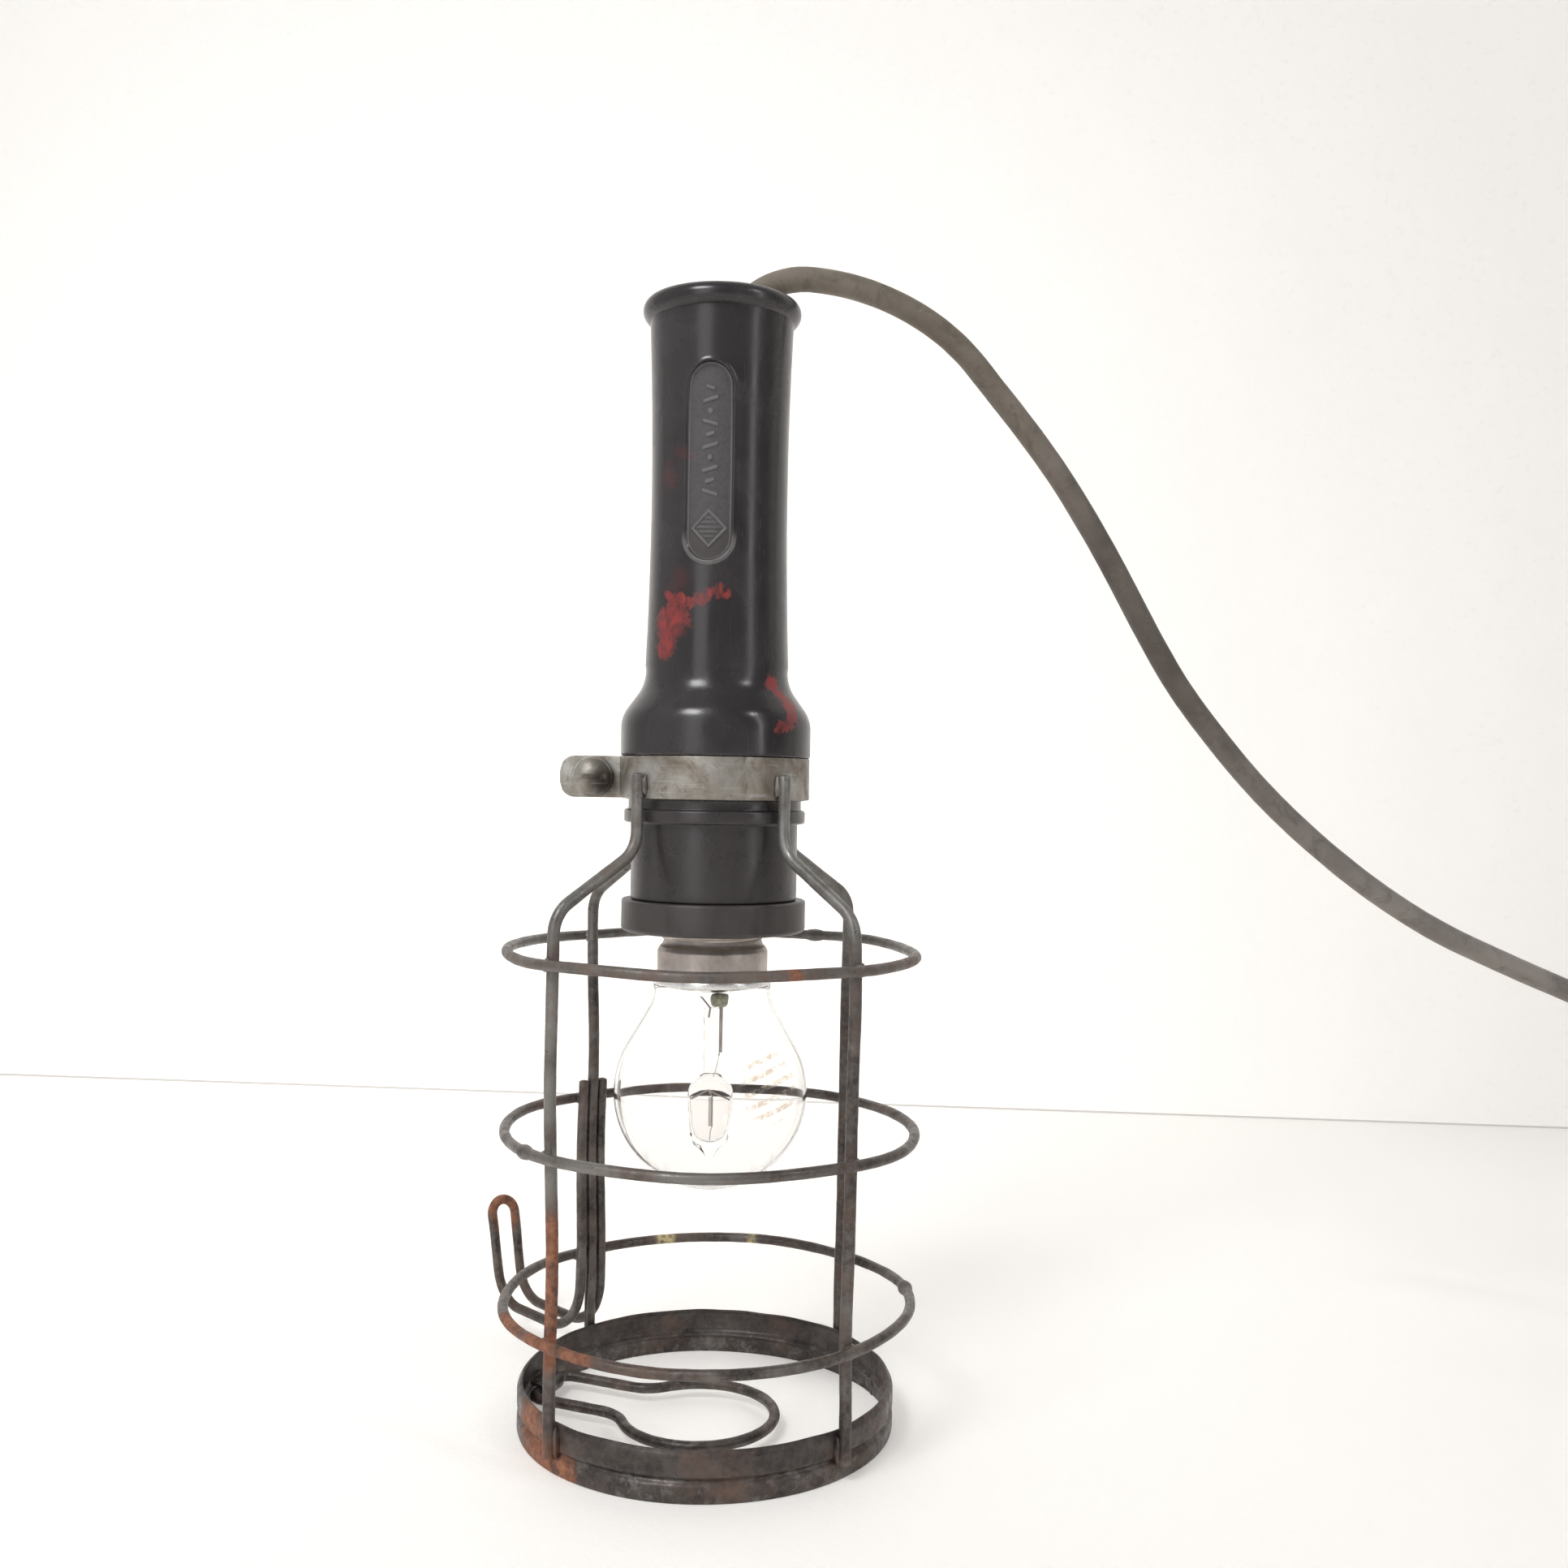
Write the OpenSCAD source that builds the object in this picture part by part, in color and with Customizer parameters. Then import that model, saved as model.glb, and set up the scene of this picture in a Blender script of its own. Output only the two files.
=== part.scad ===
// Caged hand lamp: a moulded handle with a bulb holder, a welded wire cage clamped round its neck, a golf-ball
// bulb, and a short stretch of cable with a plug. The lamp stands on the ring at the open end of its cage.
// Origin: centre of that ring's foot. +Z runs up the handle. Azimuths run from the front, -Y, positive to +X.

/* [Cage] */
// Thickness of the four long rods
rod_d = 2.8; // [2.2:0.2:3.6]
// Thickness of the three hoops
hoop_d = 2.5; // [2:0.1:3]
// Radius of the rods' centres at the foot
cage_r = 46.3; // [44:0.1:50]
// Outer radius of the formed ring that the lamp stands on
end_ring_r = 45; // [43:0.1:48]
// Height of the formed ring
end_ring_h = 11.5; // [9:0.5:14]

/* [Clamp] */
// Bore radius of the clamp band
band_bore_r = 21.9; // [21.85:0.01:22]
// Thickness of the sheet steel
sheet_t = 0.8; // [0.6:0.1:1]
// Height of the clamp band
band_h = 10; // [8:0.5:12]

/* [Handle] */
// Radius of the seat that the band grips
seat_r = 21.8; // [21.5:0.1:21.8]
// Largest radius of the handle's foot
handle_foot_r = 22.85; // [22.8:0.05:24]
// Radius of the grip at its waist
grip_r = 16.15; // [15.8:0.05:17]
// Height of the handle's mouth above the table
handle_top_z = 269.9; // [262:0.1:280]

/* [Bulb] */
// Radius of the glass ball
ball_r = 23.3; // [20:0.1:23.4]
// Height of the ball's centre
ball_z = 79.5; // [78:0.1:82]

/* [Wire fittings] */
// Thickness of the side hook's wire
hook_d = 2.6; // [2.2:0.1:3]
// How far the side hook stands out from the rod
hook_reach = 41.2; // [36:0.2:46]
// Thickness of the hanging loop's wire
loop_d = 2.5; // [2:0.1:2.8]
// Radius of the hanging loop's eye
eye_r = 18.3; // [14:0.1:19]

/* [Cable and plug] */
// Thickness of the cable
cable_d = 6; // [5.4:0.1:6]
// Azimuth of the vertical plane that the cable hangs in, from +X
cable_turn = 13.6; // [0:0.1:20]
// Radius of the plug
plug_r = 18; // [17:0.1:20]

/* [Hidden] */
$fn = 64;

// Clearances
running = 0.05;      // radial gap of a part that turns or slides in another
seat_gap = 0.05;     // gap between faces that rest on each other across a joint
weld_sink = 0.25;    // how far a hoop sinks into a rod at its weld
bend_swell = 0.06;   // how much thicker a wire is at its bends
bend_lap = 0.3;      // how far a straight runs on inside a bend

// Heights along the lamp
rod_foot_z = 4;
rod_bend_z = 124;
rod_neck_z = 138;
band_z = 150;
band_mid_z = band_z + band_h / 2;
band_top_z = band_z + band_h;
hoop_zs = [29.5, 70.6, 113.2];
holder_z = 118.3;    // mouth of the bulb holder
spigot_z = 120.3;
shoulder_z = 143.05; // shoulder inside the handle that the holder insert seats against
contact_z = 135.6;   // floor of the insert's well
bush_z = 246;
cup_z = 254;         // floor of the cup in the handle's mouth
cable_split_z = 256;

// Radii
band_r = band_bore_r + sheet_t;
rod_neck_r = band_r + rod_d / 2 - 0.1;
cage_lean = 0.8 / (rod_bend_z - rod_foot_z);
holder_bore_r = 17;
handle_bore_r = 12.2;
cap_r = 13.3;        // skirt of the bulb's screw cap
thread_pitch = 3.6;
neck_r = 14.2;       // neck of the glass
glass_t = 0.7;
rim_bead_r = 2.8;

// Clamp screw, M5
screw_r = 2.5;
screw_x = -29.4;
lug_x = -37.3;
lug_gap = 3;
lug_corner = 3.6;

// Hanging loop, drawn in a plane whose x runs from its hinge to its eye
loop_z = 3.6;
loop_turn = -21.4;
loop_shift = -6.1;   // how far the loop's midline lies from the cage's axis
loop_hinge = -40.4;
loop_eye = 0.8;
loop_half = 8;       // half the distance between the two legs
loop_fillet = 10;
loop_corner = 3;
knuckle_half = 4.5;

// Side hook, drawn in the vertical plane of the rear left rod; x runs outward from the rod
hook_half = 3.3;
hook_lean = 15;
hook_low_z = 8.6;
hook_top_z = 75;
hook_tip_z = 31.4;

// Azimuths of the rods
front_left = -45;
front_right = 45;
rear_left = -135;
rear_right = 135;

// Holder fittings
terminal_x = 8.2;
terminal_side = 6;
rivet_x = 10.1;
grip_h = 10;         // height of the cord grip, which seats under the bush
leaf_root_x = -5.6;
leaf_tilt = 12.5;

// Cable and plug
cable_drop = 285;    // distance from the lamp's axis at which the cable turns down
cable_low_z = 52;
plug_x = cable_drop * cos(cable_turn);
plug_back_y = 24;
plug_face = 37;      // distance from the plug's back to its face
pin_d = 4.8;
pin_spacing = 19;
pin_length = 19;
pin_neck_r = 2.1;    // a pin inside the plug's base, below its shoulder

zinc = [0.42, 0.41, 0.39];
steel_wire = [0.27, 0.26, 0.25];
black_moulding = [0.03, 0.03, 0.035];
brass = [0.78, 0.62, 0.32];
porcelain = [0.93, 0.92, 0.88];
nickel = [0.72, 0.71, 0.68];
sheath = [0.38, 0.37, 0.31];
clear_glass = [0.86, 0.92, 0.95];

function rod_radius(z) = cage_r + cage_lean * (z - rod_foot_z);
function unit(v) = v / norm(v);
function arc(centre, radius, from, to, steps = 16) =
    [for (i = [0:steps]) let (a = from + (to - from) * i / steps) centre + radius * [cos(a), sin(a)]];
function reversed(list) = [for (i = [len(list) - 1:-1:0]) list[i]];

// How far a path turns at its corner number i, positive to the left
function turn_at(points, i) =
    let (before = unit(points[i] - points[i - 1]), after = unit(points[i + 1] - points[i]))
    atan2(before.x * after.y - before.y * after.x, before * after);

// How much of each straight the bend at corner i takes up
function trim_at(points, radii, i) =
    i == 0 || i == len(points) - 1 ? 0 : radii[i - 1] * tan(abs(turn_at(points, i)) / 2);

// Straight round wire between two points of the drawing plane, running on a little way into the bends at its ends
module wire_straight(from, to, d, on_from = bend_lap, on_to = bend_lap) {
    run = to - from;
    start = from - unit(run) * on_from;
    translate([start.x, start.y, 0])
        rotate([0, 90, atan2(run.y, run.x)])
            cylinder(h = norm(run) + on_from + on_to, d = d);
}

// Round wire along an arc of the drawing plane
module wire_arc(centre, radius, from, to, d) {
    translate([centre.x, centre.y, 0])
        rotate([0, 0, min(from, to)])
            rotate_extrude(angle = abs(to - from))
                translate([radius, 0]) circle(d = d);
}

// Round wire bent along a path of the drawing plane, with one bend radius for each inner corner
module bent_wire(points, radii, d) {
    last = len(points) - 1;
    for (i = [0:last - 1]) {
        along = unit(points[i + 1] - points[i]);
        wire_straight(points[i] + along * trim_at(points, radii, i),
                      points[i + 1] - along * trim_at(points, radii, i + 1), d,
                      i == 0 ? 0 : bend_lap, i == last - 1 ? 0 : bend_lap);
    }
    if (last > 1) for (i = [1:last - 1]) {
        along = unit(points[i] - points[i - 1]);
        turn = turn_at(points, i);
        side = sign(turn) * [-along.y, along.x];
        centre = points[i] - along * trim_at(points, radii, i) + side * radii[i - 1];
        start = atan2(-side.y, -side.x);
        wire_arc(centre, radii[i - 1], start, start + turn, d + bend_swell);
    }
}

// Stands the drawing plane upright, with its x pointing outward at an azimuth
module upright(azimuth) {
    rotate([0, 0, azimuth - 90]) rotate([90, 0, 0]) children();
}

// Hollow cylinder between two heights
module tube(from_z, to_z, outer, inner) {
    translate([0, 0, from_z]) difference() {
        cylinder(h = to_z - from_z, r = outer);
        translate([0, 0, -1]) cylinder(h = to_z - from_z + 2, r = inner);
    }
}

// ---- Cage ----

// One lug of the clamp band: a flat ear with rounded corners and a clearance hole
module band_lug(side) {
    translate([0, side * (lug_gap + sheet_t) / 2, band_mid_z]) rotate([90, 0, 0])
        linear_extrude(sheet_t, center = true) difference() {
            union() {
                for (end = [-1, 1])
                    translate([lug_x + lug_corner, end * (band_h / 2 - lug_corner)]) circle(r = lug_corner);
                translate([lug_x, lug_corner - band_h / 2])
                    square([lug_corner, band_h - 2 * lug_corner]);
                translate([lug_x + lug_corner, -band_h / 2])
                    square([-band_bore_r - lug_x - lug_corner, band_h]);
            }
            translate([screw_x, 0]) circle(r = screw_r + running);
        }
}

module clamp_band() {
    color(zinc) {
        difference() {
            tube(band_z, band_top_z, band_r, band_bore_r);
            translate([-band_r - 1, -lug_gap / 2, band_z - 1]) cube([band_r, lug_gap, band_h + 2]);
        }
        for (side = [-1, 1]) band_lug(side);
    }
}

// Hexagon nut welded to the rear lug
module clamp_nut() {
    color(zinc)
        translate([screw_x, lug_gap / 2 + sheet_t + 4, band_mid_z]) rotate([90, 0, 0]) difference() {
            cylinder(h = 4, r = 4.62, $fn = 6);
            translate([0, 0, -1]) cylinder(h = 6, r = screw_r + running);
        }
}

module clamp_washer() {
    color(zinc)
        translate([screw_x, -lug_gap / 2 - sheet_t - seat_gap, band_mid_z]) rotate([90, 0, 0])
            tube(0, 1, 5, screw_r + running);
}

// Domed, slotted screw through both lugs and the nut
module clamp_screw() {
    head_y = -lug_gap / 2 - sheet_t - 1 - 2 * seat_gap;
    color(zinc)
        translate([screw_x, head_y, band_mid_z]) rotate([90, 0, 0]) {
            difference() {
                rotate_extrude() polygon(concat([[0, 0], [4.3, 0], [4.3, 1.2]], arc([0, -1.9], 5.3, 35.8, 90, 8)));
                translate([-5, -0.6, 2]) cube([10, 1.2, 3]);
            }
            translate([0, 0, -14]) cylinder(h = 14.5, r = screw_r);
        }
}

// Upright rod that bends in over the shoulder of the cage and runs up beside the band
module cage_rod(azimuth) {
    color(steel_wire) upright(azimuth)
        bent_wire([[cage_r, rod_foot_z], [rod_radius(rod_bend_z), rod_bend_z],
                   [rod_neck_r, rod_neck_z], [rod_neck_r, band_mid_z + 1]], [8, 8], rod_d);
}

// Hoop welded round the outside of the rods
module cage_hoop(z) {
    color(steel_wire) translate([0, 0, z]) rotate_extrude()
        translate([rod_radius(z) + (rod_d + hoop_d) / 2 - weld_sink, 0]) circle(d = hoop_d);
}

// Outside of the end ring: a foot that turns in a little, a pressed groove, and a top edge that curls in
function end_ring_outer(z) =
    end_ring_r - exp(-pow((z - 4.8) / 0.7, 2)) - 0.4 * pow(max(0, 1 - z), 2)
    - 0.25 * pow(max(0, z - end_ring_h + 2), 2);

module end_ring() {
    outer = [for (z = [0:0.5:end_ring_h]) [end_ring_outer(z), z]];
    inner = [for (p = outer) [p.x - sheet_t, p.y]];
    color(steel_wire) rotate_extrude() polygon(concat(outer, reversed(inner)));
}

// One hairpin of wire whose two legs run down beside the rear left rod and turn out and up into a hook
module side_hook() {
    tip = [hook_reach, hook_tip_z];
    knee = [hook_reach - (hook_tip_z - hook_low_z) * tan(hook_lean), hook_low_z];
    top = [rod_radius(hook_top_z) - rod_radius(hook_low_z), hook_top_z];
    color(steel_wire) upright(rear_left) translate([rod_radius(hook_low_z), 0, 0]) {
        for (side = [-1, 1])
            translate([0, 0, side * hook_half])
                bent_wire([top, [0, hook_low_z], knee, tip], [13, 10], hook_d);
        translate([tip.x, tip.y, 0]) rotate([0, 0, -hook_lean]) rotate([0, -90, 0])
            wire_arc([0, -bend_lap], hook_half, 0, 180, hook_d + bend_swell);
    }
}

// Puts the hanging loop's drawing plane in its place in the cage
module loop_plane() {
    rotate([0, 0, loop_turn]) translate([0, loop_shift, loop_z]) children();
}

// Curled clip, welded inside the end ring, that the hanging loop turns in
module loop_clip() {
    color(zinc) intersection() {
        loop_plane() difference() {
            translate([loop_hinge, 0, 0]) rotate([90, 0, 0]) union() {
                cylinder(h = 2 * knuckle_half, r = loop_d / 2 + running + sheet_t, center = true);
                translate([-6, 1.1, -knuckle_half]) cube([6, sheet_t, 2 * knuckle_half]);
            }
            translate([loop_hinge, 0, 0]) rotate([90, 0, 0])
                cylinder(h = 4 * knuckle_half, r = loop_d / 2 + running, center = true);
        }
        cylinder(h = end_ring_h, r = end_ring_r - 1.5);
    }
}

// Keyhole-shaped loop: a bar that turns in the clip, two legs, and a round eye
module hanging_loop() {
    flare = asin((loop_half + loop_fillet) / (eye_r + loop_fillet));
    fillet_x = loop_eye - (eye_r + loop_fillet) * cos(flare);
    corner_x = loop_hinge + loop_corner;
    corner_y = loop_half - loop_corner;
    eye_lap = bend_lap / eye_r * 180 / PI;
    color(steel_wire) loop_plane() {
        wire_arc([loop_eye, 0], eye_r, flare - 180 - eye_lap, 180 - flare + eye_lap, loop_d);
        for (side = [0, 1]) mirror([0, side, 0]) {
            wire_arc([fillet_x, loop_half + loop_fillet], loop_fillet, -90, -flare, loop_d + bend_swell);
            wire_straight([corner_x, loop_half], [fillet_x, loop_half], loop_d);
            wire_arc([corner_x, corner_y], loop_corner, 90, 180, loop_d + bend_swell);
        }
        wire_straight([loop_hinge, -corner_y], [loop_hinge, corner_y], loop_d);
    }
}

// ---- Handle and bulb holder ----

// Radius of the grip, slightly waisted
function grip_radius(z) = grip_r + pow(z - 222.5, 2) / 1940;

// Outline of the handle's neck, foot and grip, from the spigot up to the rim
handle_outline = concat(
    [[0, spigot_z], [19, spigot_z], [19, 126], [20, 126], [20, 144.3]],
    [[seat_r, 144.3], [seat_r, 147.5], [20.8, 147.5], [20.8, 149.8], [seat_r, 149.8]],
    [[seat_r, band_top_z + seat_gap], [handle_foot_r, band_top_z + seat_gap]],
    arc([handle_foot_r - 8, 166.9], 8, 0, 36, 8),
    arc([handle_foot_r + 4.25, 180.7], 10, 216, 180, 8),
    [for (z = [186:8:258]) [grip_radius(z), z]],
    [[grip_radius(264), handle_top_z - rim_bead_r], [0, handle_top_z - rim_bead_r]]);

// Long round-ended recess for a marking panel on the front of the grip
module panel_recess() {
    rotate([0, 0, -5.5]) translate([0, 0, 228.5]) rotate([90, 0, 0])
        linear_extrude(30) {
            square([10.5, 35.2], center = true);
            for (end = [-1, 1]) translate([0, end * 17.6]) circle(d = 10.5);
        }
}

module handle_shell() {
    color(black_moulding) difference() {
        union() {
            rotate_extrude() polygon(handle_outline);
            translate([0, 0, handle_top_z - rim_bead_r]) rotate_extrude()
                translate([grip_radius(264) - 1, 0]) circle(r = rim_bead_r);
        }
        translate([0, 0, spigot_z - 1]) cylinder(h = shoulder_z - spigot_z + 1, r = holder_bore_r);
        translate([0, 0, shoulder_z - 1]) cylinder(h = bush_z - shoulder_z + 1, r = handle_bore_r);
        translate([0, 0, bush_z - 1]) cylinder(h = cup_z - bush_z + 2, r = 5.05);
        translate([0, 0, cup_z]) cylinder(h = 30, r = 13);
        difference() {
            panel_recess();
            cylinder(h = handle_top_z, r = grip_r - 0.65);
        }
    }
}

// Ring that screws onto the spigot and holds the insert in
module retaining_ring() {
    color(black_moulding) {
        tube(holder_z, spigot_z - 0.05, seat_r, 15.2);
        tube(spigot_z - 0.05, 125.9, seat_r, 19.05);
    }
}

// Porcelain insert with a deep well for the screw shell
module holder_insert() {
    color(porcelain) difference() {
        translate([0, 0, spigot_z + 0.1]) cylinder(h = shoulder_z - spigot_z - 0.15, r = holder_bore_r - 0.05);
        translate([0, 0, spigot_z - 1]) cylinder(h = contact_z - spigot_z + 1, r = 14.2);
        for (x = [leaf_root_x, rivet_x])
            translate([x, 0, contact_z - 1]) cylinder(h = 10, r = 1.25);
    }
}

// Wave of a rolled thread about a mean radius
function thread_wave(z, depth) = depth * cos(360 * (z - 117) / thread_pitch);

// Rolled brass shell that takes the bulb's thread, with a floor flange for its rivet
module screw_shell() {
    zs = [for (i = [0:26]) 119 + 0.6 * i];
    inner = [for (z = zs) [13.55 + thread_wave(z, 0.15), z]];
    outer = [for (p = inner) [p.x + 0.3, p.y]];
    color(brass) {
        rotate_extrude() polygon(concat(inner, reversed(outer)));
        difference() {
            tube(zs[len(zs) - 1], contact_z - 0.1, 13.8, 8.8);
            translate([rivet_x, 0, contact_z - 3]) cylinder(h = 5, r = 1.25);
        }
    }
}

// Springy brass leaf that presses on the bulb's tip, turning about its root beside the rivet
module centre_contact() {
    color(brass) translate([leaf_root_x, 0, contact_z - 1]) rotate([0, leaf_tilt, 0]) difference() {
        translate([-2, -3, 0]) cube([8.8, 6, 0.4]);
        translate([0, 0, -1]) cylinder(h = 3, r = 1.5);
    }
}

// Rivet with a shank through the insert's floor and a head in the well
module floor_rivet(x, head_z) {
    color(brass) translate([x, 0, 0]) {
        translate([0, 0, head_z]) cylinder(h = 0.6, r = 2.1);
        translate([0, 0, head_z + 0.5]) cylinder(h = shoulder_z - head_z - 0.55, r = 1.2);
    }
}

module contact_rivet() {
    floor_rivet(leaf_root_x, contact_z - 2.2);
}

module shell_rivet() {
    floor_rivet(rivet_x, contact_z - 1.65);
}

// Brass block on top of the insert, drilled for a core and tapped for its screw
module terminal(side) {
    color(brass) translate([side * terminal_x, 0, shoulder_z]) difference() {
        translate([-terminal_side / 2, -terminal_side / 2, 0]) cube(terminal_side);
        translate([0, 0, 2]) cylinder(h = 10, r = 1.15);
        translate([0, 0, 4]) rotate([90, 0, 0]) cylinder(h = 5, r = 1.25);
    }
}

module live_terminal() {
    terminal(-1);
}

module neutral_terminal() {
    terminal(1);
}

// Slotted cheese-head screw, head at the origin, shank along +Z
module slotted_screw(head_r, head_h, shank_r, length) {
    difference() {
        cylinder(h = head_h, r = head_r);
        translate([-head_r, -0.3, -1]) cube([2 * head_r, 0.6, 1.6]);
    }
    translate([0, 0, head_h - 0.1]) cylinder(h = length, r = shank_r);
}

module terminal_screws() {
    color(nickel) for (side = [-1, 1])
        translate([side * terminal_x, -terminal_side / 2 - 1.6, shoulder_z + 4]) rotate([-90, 0, 0])
            slotted_screw(2.1, 1.55, 1.2, 2);
}

// Half of the cord grip: a block with half of the cable's channel and two screw holes
module cord_grip_half(side) {
    color("dimgray") difference() {
        translate([-9.5, side > 0 ? 0.3 : -6.3, bush_z - grip_h]) cube([19, 6, grip_h]);
        translate([0, 0, bush_z - grip_h - 1]) cylinder(h = grip_h + 2, r = cable_d / 2);
        for (x = [-6.4, 6.4])
            translate([x, 8, bush_z - grip_h / 2]) rotate([90, 0, 0]) cylinder(h = 16, r = 1.5);
    }
}

module cord_grip_front() {
    cord_grip_half(-1);
}

module cord_grip_rear() {
    cord_grip_half(1);
}

module cord_grip_screws() {
    color(nickel) for (x = [-6.4, 6.4])
        translate([x, -8, bush_z - grip_h / 2]) rotate([-90, 0, 0]) slotted_screw(2.6, 1.7, 1.5, 12);
}

// Rubber bush that lines the cable's hole and flares over the floor of the cup
module cable_bush() {
    color(sheath) {
        tube(bush_z, cup_z, 5, cable_d / 2);
        tube(cup_z, cup_z + 1.5, 7, cable_d / 2);
    }
}

module cable_inner() {
    color(sheath) translate([0, 0, 216]) cylinder(h = cable_split_z - 216, r = cable_d / 2);
}

// Insulated core from the end of the sheath down into its terminal
module core(side) {
    upright(90)
        bent_wire([[side * 1.3, 216], [side * 1.3, 205], [side * terminal_x, 170], [side * terminal_x, 145.2]],
                  [12, 12], 2);
}

module live_core() {
    color("saddlebrown") core(-1);
}

module neutral_core() {
    color("steelblue") core(1);
}

// ---- Bulb ----

// Angle at which the ball of the glass runs into the cone of its shoulder
shoulder_a = 28.8;
neck_z = ball_z + (ball_r + 8 - (neck_r + 8) * cos(shoulder_a)) / sin(shoulder_a);

// Outline of the glass, moved in by a wall thickness
function glass_outline(inset) = concat(
    arc([0, ball_z], ball_r - inset, -90, shoulder_a, 24),
    arc([neck_r + 8, neck_z], 8 + inset, 180 + shoulder_a, 180, 6));

module bulb_glass() {
    color(clear_glass, 0.4) difference() {
        rotate_extrude() polygon(concat(glass_outline(0),
            [[neck_r, 105.6], [12.8, 106], [12.8, 112], [0, 112]]));
        rotate_extrude() polygon(concat(glass_outline(glass_t), [[12, 106], [12, 113], [0, 113]]));
        translate([0, 0, ball_z - ball_r - 1]) cylinder(h = 3, r = 0.3);
    }
}

// Screw cap: a flared rim, a plain skirt, a rolled thread and a shoulder
module bulb_cap() {
    outer = concat([[neck_r, 105.8], [neck_r, 107], [cap_r, 107.6], [cap_r, 114.9]],
                   [for (z = [115.2:0.6:129]) [12.7 + thread_wave(z, 0.4), z]],
                   [[11.5, 130.2], [8, 131]]);
    inner = concat([[13.6, 105.8], [13.6, 107]], [for (p = outer) if (p.y > 107.2 && p.y < 130) p - [0.4, 0]],
                   [[11, 129.8], [8, 130.6]]);
    color(nickel) rotate_extrude() polygon(concat(outer, reversed(inner)));
}

module bulb_cap_insulator() {
    color("#1a1a1c") rotate_extrude()
        polygon([[1, 129.5], [8, 129.5], [8, 131], [5, 132.2], [1, 132.2]]);
}

module bulb_tip_contact() {
    color(nickel) {
        translate([0, 0, 132.2]) rotate_extrude()
            polygon(concat([[0, 0]], arc([0, -5.9], 6.8, 60.2, 90, 6)));
        translate([0, 0, 129.6]) cylinder(h = 2.7, r = 1);
    }
}

// Quartz capsule inside the ball, with a flat pinch at its top
module halogen_capsule() {
    color(clear_glass, 0.5) difference() {
        union() {
            rotate_extrude() polygon(concat([[0, 62.4]], arc([0, 67.9], 5.5, -80, 0, 8), [[5.5, 77], [3, 79.5], [0, 79.5]]));
            translate([-3, -1.2, 78]) cube([6, 2.4, 4]);
        }
        translate([0, 0, 63.4]) rotate_extrude()
            polygon(concat([[0, 0]], arc([0, 4.6], 4.6, -80, 0, 8), [[4.6, 13], [2, 15], [0, 15]]));
        translate([0, 0, 62]) cylinder(h = 3, r = 0.3);
    }
}

// Coiled tungsten filament with its two legs up to the pinch
module filament() {
    color("#555555") {
        translate([0, 0, 67]) linear_extrude(6, twist = -360 * 7, slices = 98, $fn = 8)
            translate([0.8, 0]) circle(r = 0.22);
        translate([0.8, 0, 72.8]) cylinder(h = 5.2, r = 0.2);
        translate([-1.6, 0, 66.6]) cylinder(h = 11.4, r = 0.2);
        translate([-1.6, 0, 66.9]) rotate([0, 90, 0]) cylinder(h = 2.4, r = 0.2);
    }
}

// Glass stem that carries the capsule, with its mount block in the cap
module capsule_stem() {
    color(clear_glass, 0.5) {
        translate([0, 0, 82]) cylinder(h = 17.5, r = 2);
        translate([0, 0, 99.4]) cylinder(h = 4.2, r = 4);
        translate([0, 0, 103.5]) cylinder(h = 2.5, r1 = 4, r2 = 11.9);
    }
}

// Two lead wires beside the stem, from the pinch to the mount block
module lead_wires() {
    color("#3a3a3c") for (side = [-1, 1])
        upright(90) bent_wire([[side * 2.6, 82], [side * 2.6, 99.4]], [], 0.6);
}

// ---- Cable and plug ----

module cable_outer() {
    color(sheath) {
        upright(90 + cable_turn) bent_wire(
            [[0, cable_split_z + 0.05], [0, 278.5], [54.6, 278.5], [92.1, 233.6], [130.5, 171.1],
             [183.5, 128.2], [cable_drop, 79.8], [cable_drop, cable_low_z]],
            [22, 60, 150, 150, 200, 45], cable_d);
        translate([plug_x, cable_drop * sin(cable_turn), 0]) upright(0)
            bent_wire([[0, cable_low_z + 0.5], [0, plug_r],
                       [cable_drop * sin(cable_turn) - plug_back_y + 8, plug_r]], [32], cable_d - bend_swell);
    }
}

// Puts the plug behind the cable's end, with its own +Z pointing at its pins
module plug_place() {
    translate([plug_x, plug_back_y, plug_r]) rotate([90, 0, 0]) children();
}

// Domed rear cover of the plug, hollow, with a web and a boss for its screw
module plug_cover() {
    color(black_moulding) plug_place() {
        difference() {
            rotate_extrude() polygon(concat([[0, 0], [5.5, 0]], arc([5.5, 6], 6, -60, -20, 4),
                arc([plug_r - 10, 20], 10, -30, 0, 5), [[plug_r, 30], [0, 30]]));
            translate([0, 0, -1]) cylinder(h = 12, r = cable_d / 2 + 0.02);
            difference() {
                translate([0, 0, 10]) cylinder(h = 22, r1 = 9, r2 = plug_r - 2.5);
                translate([0, 0, 14]) cylinder(h = 11.9, r = 3.4);
                translate([-1, -plug_r, 14]) cube([2, 2 * plug_r, 11.9]);
            }
            translate([0, 0, 20]) cylinder(h = 10, r = 1.5);
        }
    }
}

module plug_base() {
    color(black_moulding) plug_place() difference() {
        union() {
            translate([0, 0, 30.05]) cylinder(h = plug_face - 30.05, r = plug_r);
            translate([0, 0, 26]) cylinder(h = 5, r = 12);
        }
        for (side = [-1, 1])
            translate([side * pin_spacing / 2, 0, 20]) cylinder(h = 30, r = pin_neck_r);
        translate([0, 0, 20]) cylinder(h = 30, r = 1.55);
        translate([0, 0, plug_face - 1.8]) cylinder(h = 5, r = 3.1);
    }
}

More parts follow.
